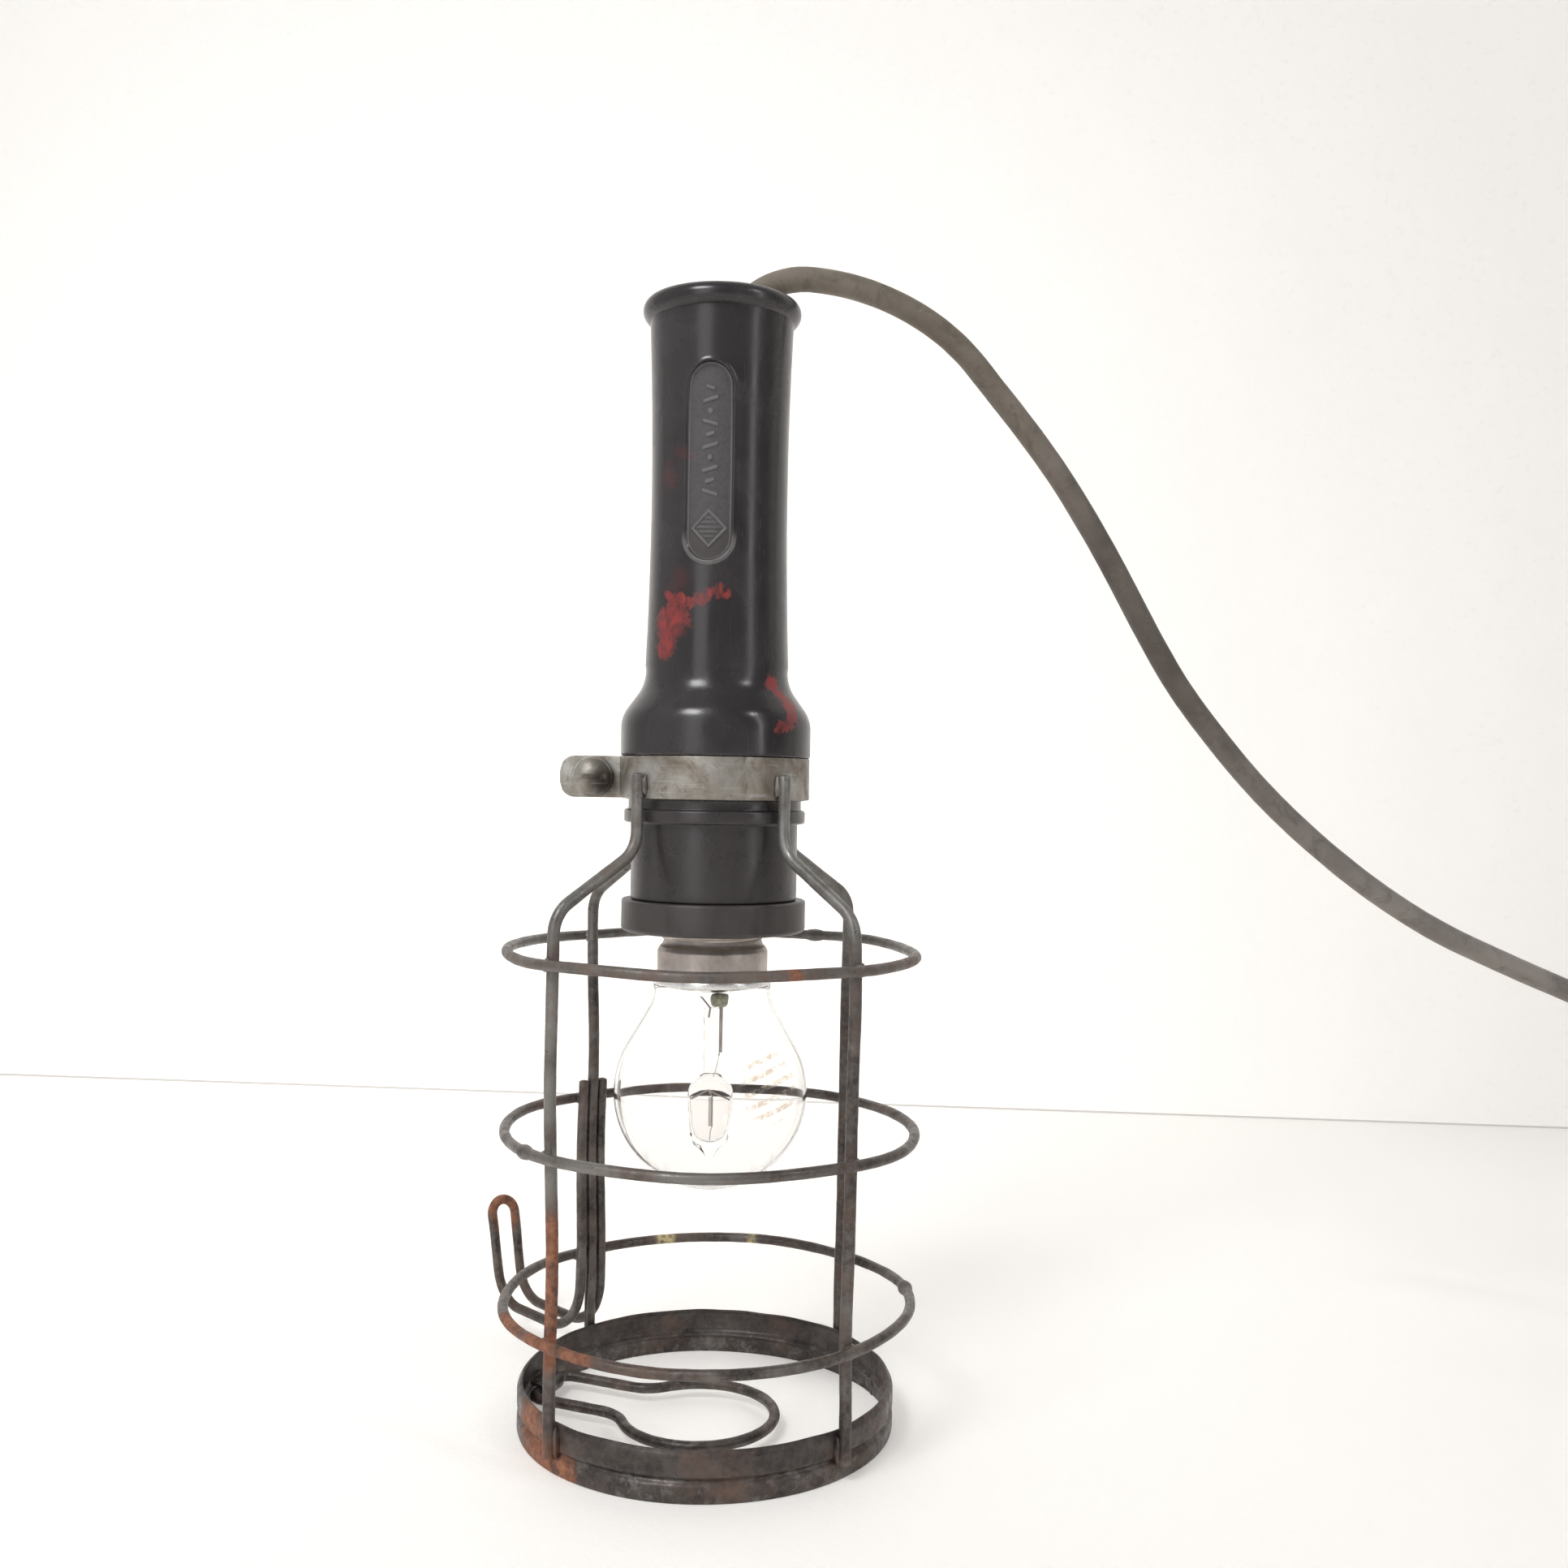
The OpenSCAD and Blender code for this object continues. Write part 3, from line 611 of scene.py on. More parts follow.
def cage_steel():
    """Old dull wire: dark grey skin, paler towards the top, with painted glints, rust and brown bloom."""
    m = Material("cage_steel")
    mottle = m.noise(9.0, 6, 0.62)
    fine = m.noise(1.3, 5, 0.7)
    patch = m.noise(4.5, 5, 0.65)
    skin_tones = [(0.30, (0.036, 0.029, 0.026)), (0.50, (0.086, 0.071, 0.064)), (0.70, (0.18, 0.164, 0.15))]
    m.tone = m.ramp(mottle, *skin_tones)
    # Painted glints: pale flecks that stand in for small highlights on the wire.
    m.coat(m.ramp(fine, (0.42, 0.0), (0.72, 0.45)), (0.215, 0.198, 0.184))
    m.coat(m.times(m.below(11.5, 13.5), 0.45), (0.026, 0.021, 0.020))
    m.coat(m.times(m.below(4.5, 7.5), m.patches(3.6, 0.50, 0.64, 0.7)), (0.20, 0.19, 0.18))
    # Paler patches on the front-left upright and the front of the middle hoop.
    m.coat(m.times(m.spots(PALE_PATCHES, 0.8), 0.75), (0.255, 0.245, 0.225))
    # Paler towards the top of the cage.
    high = m.ramp(m.math("DIVIDE", m.height_mm(), 160.0), (0.60, 0.0), (0.82, 1.0))
    m.coat(m.times(high, m.ramp(m.noise(5.0, 4), (0.34, 0.35), (0.62, 1.0)), 0.8), (0.285, 0.285, 0.268))
    near_joints = m.times(m.spots(BLOOM, 0.9), m.ramp(patch, (0.36, 0.0), (0.58, 0.8)))
    bloom = m.largest(near_joints, m.patches(14.0, 0.52, 0.66, 0.55))
    m.coat(bloom, (0.135, 0.083, 0.062))
    rust = m.times(m.spots(RUST, 0.55), m.ramp(patch, (0.30, 0.25), (0.46, 1.0)))
    rust_tones = [(0.34, (0.125, 0.053, 0.033)), (0.52, (0.265, 0.106, 0.057)), (0.70, (0.36, 0.165, 0.088))]
    m.coat(rust, m.ramp(m.noise(2.2, 6, 0.7), *rust_tones))
    flecks = m.times(m.spots(VARNISH, 0.5), m.ramp(fine, (0.40, 0.15), (0.55, 0.95)))
    m.coat(flecks, (0.62, 0.52, 0.27))
    dull = m.largest(rust, m.times(bloom, 0.8), flecks)
    shine = m.ramp(m.noise(2.4, 5, 0.7), (0.35, 0.26), (0.62, 0.54))
    return m.finish(
        (fine, 0.5, 0.16), (m.times(rust, m.noise(0.8, 4, 0.7)), 0.7, 0.25), (mottle, 0.25, 0.25),
        Metallic=m.math("SUBTRACT", 0.6, m.times(dull, 0.6)),
        Roughness=m.math("ADD", m.times(dull, 0.34), shine),
    )


def zinc_sheet():
    """Zinc-plated sheet gone dull and stained brown, with painted shade beside the clamp screw's head."""
    m = Material("zinc_plated_steel")
    cloud = m.noise(11.0, 5, 0.6, 0.4)
    fine = m.noise(1.6, 5, 0.7)
    tones = [(0.30, (0.175, 0.142, 0.112)), (0.50, (0.31, 0.285, 0.25)), (0.68, (0.45, 0.44, 0.41))]
    m.tone = m.ramp(cloud, *tones)
    m.coat(m.patches(6.0, 0.50, 0.66, 0.75, 6, 0.7, 0.8), (0.16, 0.118, 0.085))
    # Painted shade to the right of and below the clamp screw's head.
    m.coat(m.times(m.spots(SCREW_SHADE, 0.75), m.ramp(cloud, (0.2, 0.95), (0.8, 0.55))), (0.045, 0.038, 0.034))
    m.coat(m.ramp(fine, (0.60, 0.0), (0.72, 0.6)), (0.10, 0.085, 0.07))
    m.coat(m.patches(0.9, 0.60, 0.70, 0.35, 3, 0.6, stretch=(0.06, 0.06, 1.0)), (0.58, 0.58, 0.56))
    rough = m.ramp(cloud, (0.3, 0.62), (0.7, 0.40))
    return m.finish((fine, 0.25, 0.08), (cloud, 0.3, 0.2), Metallic=0.78, Roughness=rough)


def panel_floor_tone(m, fine):
    """Pale matt floor of the panel, a painted reflection, browner at its foot, with painted highlights on the
    raised marks.
    """
    # Painted reflection: the panel's floor is given a pale tone.
    painted_reflection_tone = m.ramp(fine, (0.3, (0.050, 0.047, 0.050)), (0.7, (0.078, 0.073, 0.077)))
    painted_reflection_tone = m.mix(m.times(m.below(209.0, 217.0), 0.6), painted_reflection_tone, (0.046, 0.036, 0.032))
    # Painted highlights: the raised marks are lighter than the floor round them.
    return m.mix(m.near_axis(PANEL_FLOOR + 0.08, PANEL_FLOOR + 0.28), (0.15, 0.142, 0.142), painted_reflection_tone)


def panel_rim_highlight_mask(m):
    """Painted highlight on the lower half of the edge round the panel's rounded foot."""
    foot = ring_point(PANEL_AZIMUTH, PANEL_SKIN_R, PANEL_Z - PANEL_LONG + PANEL_HALF)
    ring = m.times(m.spot(foot, 6.7, 0.05), m.math("SUBTRACT", 1.0, m.spot(foot, 5.6, 0.05)))
    return m.times(ring, m.below(foot[2] - 1.5, foot[2] + 2.0), 0.8)


def black_moulding(name, dusty=0.0):
    """Black moulding, dulled by handling, with red paint brushed on, a painted reflection on its panel's
    floor, and painted highlights on the panel's marks and rim.
    """
    m = Material(name, "black_moulding")
    haze = m.noise(16.0, 5, 0.6, 0.6)
    fine = m.noise(0.9, 4, 0.7)
    m.tone = m.ramp(haze, (0.35, (0.0225, 0.0190, 0.0205)), (0.70, (0.0370, 0.0315, 0.0335)))
    m.coat(m.patches(1.1, 0.68, 0.74, 0.25, 3, 0.8), (0.10, 0.095, 0.09))
    # Painted reflection on the panel's floor, and painted highlights on its raised marks.
    floor = m.near_axis(PANEL_FLOOR + 0.25, PANEL_FLOOR + 0.6)
    m.coat(floor, panel_floor_tone(m, fine))
    # Painted highlight on the lower edge round the panel's foot.
    m.coat(panel_rim_highlight_mask(m), (0.14, 0.135, 0.132))
    ragged = m.ragged_place(3.2, 3.4)
    brushed = m.ramp(m.noise(3.4, 5, 0.6, 1.8, stretch=(1.0, 1.0, 0.6)), (0.36, 0.25), (0.60, 0.82))
    painted = m.times(m.spots(PAINT, 0.6, ragged), brushed)
    red = m.largest(painted, m.times(m.spots(TRACES, 0.9, ragged), 0.10))
    m.coat(red, m.ramp(fine, (0.3, (0.26, 0.026, 0.024)), (0.7, (0.40, 0.040, 0.036))))
    streaks = m.ramp(m.noise(4.0, 5, 0.65, stretch=(1.0, 1.0, 0.35)), (0.30, 0.25), (0.65, 1.0))
    dust = m.largest(m.times(m.below(150.5, 159.5), streaks, 0.22), m.times(streaks, dusty))
    m.coat(dust, (0.080, 0.068, 0.062))
    scratches = m.patches(0.6, 0.62, 0.72, 0.08, 2, 0.5, stretch=(1.0, 1.0, 0.05))
    rough = m.math("ADD", m.ramp(haze, (0.35, 0.19), (0.68, 0.30)), scratches)
    rough = m.math("ADD", rough, m.times(m.largest(dust, red, floor), 0.34))
    bumps = [(m.noise(7.0, 4, 0.5), 0.10, 0.22), (fine, 0.05, 0.05), (red, 0.25, 0.05)]
    return m.finish(*bumps, Roughness=rough)


def rubber_sheath():
    """Grey-olive rubber cable: grimy above, paler and chalky lower down, with scuffs."""
    m = Material("rubber_sheath")
    blotch = m.noise(26.0, 5, 0.6)
    fine = m.noise(1.0, 4, 0.7)
    m.tone = m.ramp(blotch, (0.35, (0.140, 0.118, 0.092)), (0.65, (0.225, 0.195, 0.158)))
    middle = m.ramp(blotch, (0.35, (0.080, 0.066, 0.055)), (0.65, (0.155, 0.132, 0.114)))
    lower = m.ramp(blotch, (0.35, (0.150, 0.132, 0.117)), (0.65, (0.245, 0.220, 0.198)))
    m.coat(m.below(215.0, 262.0), middle)
    m.coat(m.below(120.0, 190.0), lower)
    m.coat(m.patches(7.0, 0.52, 0.68, 0.55, 6, 0.7, 0.8), (0.070, 0.060, 0.048))
    m.coat(m.ramp(fine, (0.64, 0.0), (0.74, 0.4)), (0.34, 0.33, 0.30))
    bumps = [(fine, 0.25, 0.07), (m.noise(5.0, 4), 0.25, 0.2)]
    return m.finish(*bumps, Roughness=m.ramp(blotch, (0.3, 0.62), (0.7, 0.50)), Specular_IOR_Level=0.35)


def worn_print_mask(m):
    """What is left of a print on the bulb: slanting brown bars, mostly rubbed away."""
    bars_per_metre = 2100
    slant = m.vector("DOT_PRODUCT", m.place, (-0.30 * bars_per_metre, 0.0, 0.95 * bars_per_metre))
    bars = m.ramp(m.math("SINE", slant, 0.0), (0.15, 0.0), (0.45, 1.0))
    return m.times(bars, m.patches(1.5, 0.44, 0.58, 0.5, 4), m.spot((15.5, -17.0, 84.0), 9.5, 0.3))


def clear_glass(name, tint, rough, bending, printed=False):
    """Clear glass with faint ripples and a trace of dust."""
    m = Material(name, "clear_glass")
    m.tone = tint
    dust = m.ramp(m.noise(9.0, 5), (0.45, rough), (0.75, rough + 0.04))
    clearness = 1.0
    if printed:
        ink = worn_print_mask(m)
        m.coat(ink, (0.85, 0.60, 0.36))
        dust = m.math("ADD", dust, m.times(ink, 0.3))
        clearness = m.math("SUBTRACT", 1.0, m.times(ink, 0.5))
    return m.finish((m.noise(14.0, 2), 0.06, 0.3), Roughness=dust, IOR=bending, Transmission_Weight=clearness)


def metal(name, dark, light, size, roughness, metallic=1.0, stain=STAIN, stain_share=0.4, rim=None):
    """A metal with clouding, stain and fine marks, and bright below a rim's two heights."""
    m = Material(name)
    fine = m.noise(size / 6, 4, 0.7)
    m.tone = m.ramp(m.noise(size, 5, 0.6, 0.3), (0.3, dark), (0.7, light))
    m.coat(m.patches(size / 2, 0.55, 0.7, stain_share), stain)
    rough = m.ramp(fine, (0.3, roughness), (0.7, roughness + 0.14))
    if rim:
        bright = m.below(*rim)
        m.coat(bright, (0.80, 0.79, 0.78))
        rough = m.math("SUBTRACT", rough, m.times(bright, 0.16))
    return m.finish((fine, 0.15, 0.05), Metallic=metallic, Roughness=rough)


def dull_solid(name, dark, light, size, roughness, coat=0.0, slot=None):
    """A plain non-metal with a little variation."""
    m = Material(name, slot)
    cloud = m.noise(size, 5, 0.6)
    m.tone = m.ramp(cloud, (0.3, dark), (0.7, light))
    rough = m.ramp(cloud, (0.3, roughness), (0.7, roughness + 0.12))
    return m.finish((m.noise(size / 5, 4), 0.15, 0.08), Roughness=rough, Coat_Weight=coat)


def plaster(name, colour, glow, one_sided=False):
    """Matt plaster with a little glow, a painted pool of light strongest near the lamp. The one-sided kind is
    clear from behind.
    """
    m = Material(name)
    m.tone = m.ramp(m.noise(160.0, 3, 0.5), (0.3, tuple(0.98 * c for c in colour)), (0.7, colour))
    if one_sided:
        m.coat(m.patches(4.0, 0.56, 0.70, 0.5, 6), tuple(0.90 * c for c in colour))
        backfacing = m.node("NewGeometry").outputs["Backfacing"]
        clear = m.node("BsdfTransparent").outputs["BSDF"]
        either = m.node("MixShader", {0: backfacing, 1: m.bsdf.outputs["BSDF"], 2: clear})
        m.feed(m.out.inputs["Surface"], either.outputs["Shader"])
    # Painted pool of light: the glow is strongest near the lamp and fades away from it.
    near = m.spot((-150.0, 200.0, 100.0), 680.0, 0.75)
    glow = m.times(m.math("ADD", m.times(near, 0.88), 0.12), glow)
    bumps = [(m.noise(2.2, 5, 0.6), 0.35, 0.3), (m.noise(16.0, 5, 0.7), 0.3, 0.6)]
    shine = {"Roughness": 0.75, "Specular_IOR_Level": 0.2}
    return m.finish(*bumps, **shine, Emission_Color=m.tone, Emission_Strength=glow)


STEEL = cage_steel()
ZINC = zinc_sheet()
MOULDING = black_moulding("black_moulding")
DUSTY_MOULDING = black_moulding("dusty_moulding", 0.55)
RUBBER = rubber_sheath()
GLASS = clear_glass("clear_glass", (0.975, 0.97, 0.965), 0.0, 1.16, printed=True)
QUARTZ = clear_glass("quartz", (0.955, 0.95, 0.945), 0.06, 1.10)
CAP_TONES = ((0.37, 0.325, 0.30), (0.60, 0.545, 0.51))
CAP_METAL = metal("bulb_cap_metal", *CAP_TONES, 6.0, 0.36, 0.9, (0.20, 0.15, 0.115), rim=(107.0, 107.7))
NICKEL = metal("plated_fasteners", (0.45, 0.44, 0.41), (0.66, 0.65, 0.62), 4.0, 0.28)
BRASS = metal("brass", (0.42, 0.27, 0.09), (0.66, 0.46, 0.18), 4.0, 0.32)
TUNGSTEN = metal("tungsten", (0.40, 0.34, 0.33), (0.55, 0.49, 0.47), 1.5, 0.45, 0.2, stain_share=0.1)
PORCELAIN = dull_solid("porcelain", (0.72, 0.70, 0.64), (0.84, 0.83, 0.79), 9.0, 0.18, 0.4)
FIBRE = dull_solid("grip_fibre", (0.11, 0.045, 0.022), (0.20, 0.085, 0.042), 3.0, 0.7)
CORE_BROWN = dull_solid("core_brown", (0.10, 0.038, 0.014), (0.15, 0.06, 0.024), 6.0, 0.45)
CORE_BLUE = dull_solid("core_blue", (0.012, 0.055, 0.20), (0.02, 0.085, 0.29), 6.0, 0.45)
BLACK_GLASS = dull_solid("black_glass", (0.010, 0.010, 0.011), (0.022, 0.022, 0.024), 4.0, 0.15, 0.3)
MOUNT_GLASS = dull_solid("mount_glass", (0.17, 0.18, 0.10), (0.62, 0.62, 0.48), 0.9, 0.35, slot="clear_glass")


# ---- the cage

def rod_radius(z):
    """Distance of the uprights from the lamp's axis."""
    return ROD_FOOT[0] + CAGE_LEAN * (z - ROD_FOOT[1])


def hook_half(z):
    """Half the gap between the hook's two wires, which spread towards the tip."""
    return 2.9 + 0.5 * smoothstep(70, 10, z)


def bent(point):
    """Moves a point of a true cage as this one is knocked about, between its stiff ends."""
    return np.array(point) + wobble(point, 38.0, between(14, 34, 118, 140, point[2]), 49)


def build_rods():
    """Four uprights, bent in at the shoulder and up along the neck."""
    corners = [ROD_FOOT + (0, 0.4), ROD_BEND, ROD_NECK, (ROD_NECK[0], ROD_TOP_Z - 0.6)]
    path = rounded_path(corners, [8, 8])
    for seed, (name, azimuth) in enumerate(RODS.items()):
        shape = tube([bent(p) for p in stand_up(path, azimuth)], ROD_R, 24, swell=0.05, seed=seed)
        make_piece("rod_wire_" + name, shape, "cage", STEEL, "cage_rod_" + name)


def build_hoops():
    """Three hoops, each with a lump where its ends were butt-welded."""
    steps = 240
    joints = {"upper": 150, "middle": -54, "lower": 100}

    def lump(share):
        return 1 + 0.38 * bell(share, 0.5, 1.9 / 360, 4)

    for seed, (level, z) in enumerate(HOOP_Z.items()):
        azimuths = [joints[level] + 180 + 360 * i / steps for i in range(steps)]
        points = [bent(ring_point(azimuth, HOOP_R[level], z)) for azimuth in azimuths]
        shape = tube(points, HOOP_WIRE_R, 24, closed=True, swell=0.06, seed=11 + seed, thickness=lump)
        make_piece("hoop_wire_" + level, shape, "cage", STEEL, "cage_hoop_" + level)


def build_welds():
    """Beads where wires cross, and where the uprights meet the end ring and the band."""
    beads = []
    seed = 0
    for azimuth in RODS.values():
        for z in HOOP_Z.values():
            seed += 1
            centre = bent(ring_point(azimuth, rod_radius(z) + ROD_R - 0.1, z))
            beads.append(blob(centre, (1.75, 1.45, 1.15), seed, 0.35, axis=outward(azimuth)))
        for side in (-1, 1):
            seed += 1
            foot = ring_point(azimuth, FOOT_RING_R + 0.45, 7.3) + along(azimuth) * side * 1.35
            beads.append(blob(foot, (0.85, 0.85, 2.9), seed, 0.45))
            neck = ring_point(azimuth, BAND_BORE + SHEET + 0.35, 153.2) + along(azimuth) * side * 1.25
            beads.append(blob(neck, (0.8, 0.8, 2.3), seed + 50, 0.45))
    hook = RODS["rear_left"]
    for level in ("middle", "lower"):
        z = HOOP_Z[level]
        for side in (-1, 1):
            seed += 1
            centre = bent(ring_point(hook, rod_radius(z) + ROD_R, z) + along(hook) * side * hook_half(z))
            beads.append(blob(centre, (1.5, 1.3, 1.1), seed, 0.35, axis=outward(hook)))
    for side in (-1, 1):
        beads.append(blob(loop_place((-43.0, side * 3.6, 1.5)), (1.1, 1.3, 0.8), 90 + side, 0.4))
    make_piece("cage_welds", join(beads), "cage", STEEL)


def end_ring_outer(z):
    """Outside of the pressed ring: a foot that turns in, a groove, and a top edge that curls in."""
    foot = 0.4 * max(0, 1 - z) ** 2
    curl = 0.25 * max(0, z - FOOT_RING_H + 2) ** 2
    return FOOT_RING_R - bell(z, 4.8, 0.7) - foot - curl


def build_end_ring():
    """Pressed sheet ring with a seam, a dent and an uneven top edge."""
    lip = SHEET / 2
    outside = [(end_ring_outer(z), z) for z in np.arange(lip, FOOT_RING_H - lip + 0.01, 0.2)]
    inside = [(r - SHEET, z) for r, z in reversed(outside)]
    top = arc((outside[-1][0] - lip, outside[-1][1]), lip, 0, 180, 8)[1:-1]
    bottom = arc((outside[0][0] - lip, outside[0][1]), lip, 180, 360, 8)[1:-1]
    seam = math.radians(112)
    coarse = np.linspace(0, 2 * math.pi, 300, endpoint=False)
    angles = np.unique(np.concatenate([coarse, seam + np.linspace(-0.03, 0.03, 21)]))

    def press(r, z, a):
        dent = 0.5 * bell(a, math.radians(317), 3.2 / FOOT_RING_R) * bell(z, 9, 3)
        groove = 0.3 * bell(a, seam, 0.35 / FOOT_RING_R)
        edge = 0.3 * round_noise(a, 4.0, 5) * smoothstep(8, FOOT_RING_H, z)
        return r + 0.22 * round_noise(a, z, 2.2, 16) - dent - groove, z + edge

    shape = revolve(outside + top + inside + bottom, angles=angles, press=press)
    make_piece("end_ring_pressing", shape, "cage", STEEL, "end_ring")


def build_side_hook():
    """One wire doubled back on itself: two shanks, a bend out and a hairpin tip."""
    tip_half = 3.9
    shank_in = rod_radius(HOOK_TOP_Z) - rod_radius(HOOK_LOW_Z)
    corners = [
        (shank_in, HOOK_TOP_Z, -hook_half(HOOK_TOP_Z)),
        (0, HOOK_LOW_Z, -hook_half(HOOK_LOW_Z)),
        (35.1, 8.6, -3.4),
        (42.1, 34.8, -tip_half),
    ]
    corners += [(out, up, -across) for out, up, across in reversed(corners)]
    path = rounded_path(corners, [13, 10, tip_half * 0.98, tip_half * 0.98, 10, 13], step=0.6)
    azimuth = RODS["rear_left"]
    points = [bent(p) for p in stand_up(path, azimuth, ring_point(azimuth, rod_radius(HOOK_LOW_Z), 0))]
    make_piece("hook_wire", tube(points, 1.3, 22, swell=0.05, seed=31), "cage", STEEL, "side_hook")


def loop_place(point):
    """A point of the hanging loop's own plane, in the row's frame."""
    x, y, z = point[0], point[1] + LOOP_SHIFT, point[2]
    c, s = math.cos(LOOP_TURN), math.sin(LOOP_TURN)
    return np.array([x * c - y * s, x * s + y * c, z + LOOP_Z])


def build_hanging_loop():
    """A round eye, drawn in through two fillets to a pair of straights and the hinge bar."""
    eye_x, eye_r, half, fillet, corner = 0.8, 18.3, 8.0, 10.0, 3.0
    flare = math.degrees(math.asin((half + fillet) / (eye_r + fillet)))
    fillet_x = eye_x - (eye_r + fillet) * math.cos(math.radians(flare))
    side = arc((eye_x, 0), eye_r, 0, 180 - flare, 60)
    side += arc((fillet_x, half + fillet), fillet, -flare, -90, 14)[1:]
    side += arc((LOOP_HINGE + corner, half - corner), corner, 90, 180, 10)
    other = [(x, -y) for x, y in reversed(side)]
    path = fill([(x, y, 0) for x, y in side + other[:-1]], 1.2, closed=True)
    shape = tube([loop_place(p) for p in path], 1.25, 22, closed=True, swell=0.05, seed=41)
    make_piece("loop_wire", shape, "hanging_loop", STEEL, "hanging_loop")


def build_loop_clip():
    """A strip curled round the loop's hinge bar, with a tab to the end ring."""
    curl_r = 1.75
    tab = fill([(-43.3, curl_r), (LOOP_HINGE, curl_r)], 0.5)[:-1]
    curl = arc((LOOP_HINGE, 0), curl_r, 90, -165, 26)
    points = [loop_place((x, 0, z)) for x, z in [*tab, *curl]]
    width = loop_place((0, 1, 0)) - loop_place((0, 0, 0))
    shape = sheet(points, width, SHEET, lambda s: 4.5 - 0.5 * max(0, 1 - s) ** 2)
    make_piece("loop_clip_strip", shape, "cage", STEEL, "loop_clip")


# ---- the clamp

def build_clamp_band():
    """A strap round the handle, with two round-ended lugs drilled for the screw."""
    middle = BAND_BORE + SHEET / 2
    lug_y = (LUG_GAP + SHEET) / 2
    ring = [ring_point(a + 90, middle, 0)[:2] for a in range(192, 529, 2)]
    bend = -math.sqrt(middle ** 2 - lug_y ** 2)
    corners = [(BAND_LOW[0], -lug_y), (bend, -lug_y), *ring, (bend, lug_y), (BAND_LOW[0], lug_y)]
    path = rounded_path(corners, [1.1] + [0] * len(ring) + [1.1], step=0.3, straight_step=0.6)
    full = (BAND_HIGH[2] - BAND_LOW[2]) / 2
    round_end = 3.6

    def half_width(s):
        inset = max(0.0, round_end - s)
        return full - round_end + math.sqrt(round_end ** 2 - inset ** 2)

    shape = sheet([(x, y, BAND_MID_Z) for x, y in path], (0, 0, 1), SHEET, half_width)
    band = make_piece("clamp_strap", shape, "cage", ZINC, "clamp_band")
    carve(band, facing_front(cylinder(2.6, -6, 6), (SCREW_X, 0, BAND_MID_Z)))


def build_clamp_nut():
    """Hexagon nut, chamfered on both faces."""
    height, corner, bore = 4.0, 4.62, 2.55

    def press(r, z, a):
        if r < bore + 0.3:
            return r, z
        turn = (a + math.pi / 6) % (math.pi / 3) - math.pi / 6
        flat = corner * math.cos(math.pi / 6) / math.cos(turn)
        cone = 4.0 + 1.7 * min(z, height - z)
        return min(flat, cone), z

    side = [(corner, z) for z in np.linspace(0, height, 33)]
    shape = revolve([(bore, 0), (3.4, 0), *side, (3.4, height), (bore, height)], 96, press=press)
    shape = facing_front(shape, (SCREW_X, LUG_GAP / 2 + SHEET + height, BAND_MID_Z))
    make_piece("hexagon_nut", shape, "cage", ZINC, "clamp_nut")


def build_clamp_screw():
    """A plain washer, and a slotted round-head screw with a thread."""
    washer_at = (SCREW_X, -LUG_GAP / 2 - SHEET - 0.05, BAND_MID_Z)
    head_at = (SCREW_X, washer_at[1] - 1.05, BAND_MID_Z)
    corners = [(2.6, 0), (5, 0), (5, 1), (2.6, 1)]
    washer = revolve(rounded_path(corners, [0.2, 0.3, 0.3, 0.2], step=0.15, closed=True), 64)
    make_piece("washer_disc", facing_front(washer, washer_at), "clamp_washer", ZINC, "clamp_washer")
    head = revolve([(0, 0), (4.1, 0), (4.3, 0.25), (4.3, 1.2), *arc((0, -1.9), 5.3, 35.8, 90, 14)], 64)
    screw = make_piece("screw_head", facing_front(head, head_at), "clamp_screw", ZINC, "clamp_screw")
    carve(screw, facing_front(box_shape((-5, -0.6, 2), (5, 0.6, 5)), head_at))
    ease_edges(screw)
    shank = threaded_rod(2.5, 0.4, 0.8, -14, 0.2)
    make_piece("screw_shank", facing_front(shank, head_at), "clamp_screw", ZINC)


# ---- the handle

def grip_radius(z):
    return 16.4 + (z - GRIP_WAIST_Z) ** 2 / 1940


def soft_step(distance, width=0.3):
    """1 inside an outline and 0 outside it, easing over a width."""
    return 1 - smoothstep(-width / 2, width / 2, distance)


def panel_marks(u, v):
    """Height of the panel's marks: a column of plain ribs and studs, and a ribbed lozenge."""
    pitch = 2.7
    step = (v + 8.6) / pitch
    height = 0.0
    if 0 <= step < 10:
        row = int(step)
        dv = (step - row - 0.5) * pitch
        if row % 4 == 3:
            height = soft_step(math.hypot(u, dv) - 0.65)
        else:
            half = 1.9 if row % 2 == 0 else 1.1
            tilt = dv - 0.28 * u * (1 if row % 3 else -1)
            height = soft_step(max(abs(u) - half, abs(tilt) - 0.42))
    edge = (abs(u) + abs(v + 15.6)) / math.sqrt(2)
    height = max(height, soft_step(abs(edge - 2.9) - 0.3))
    ribs = 0.5 + 0.5 * math.cos(2 * math.pi * v / 1.1)
    return max(height, 0.5 * ribs * soft_step(edge - 2.4))


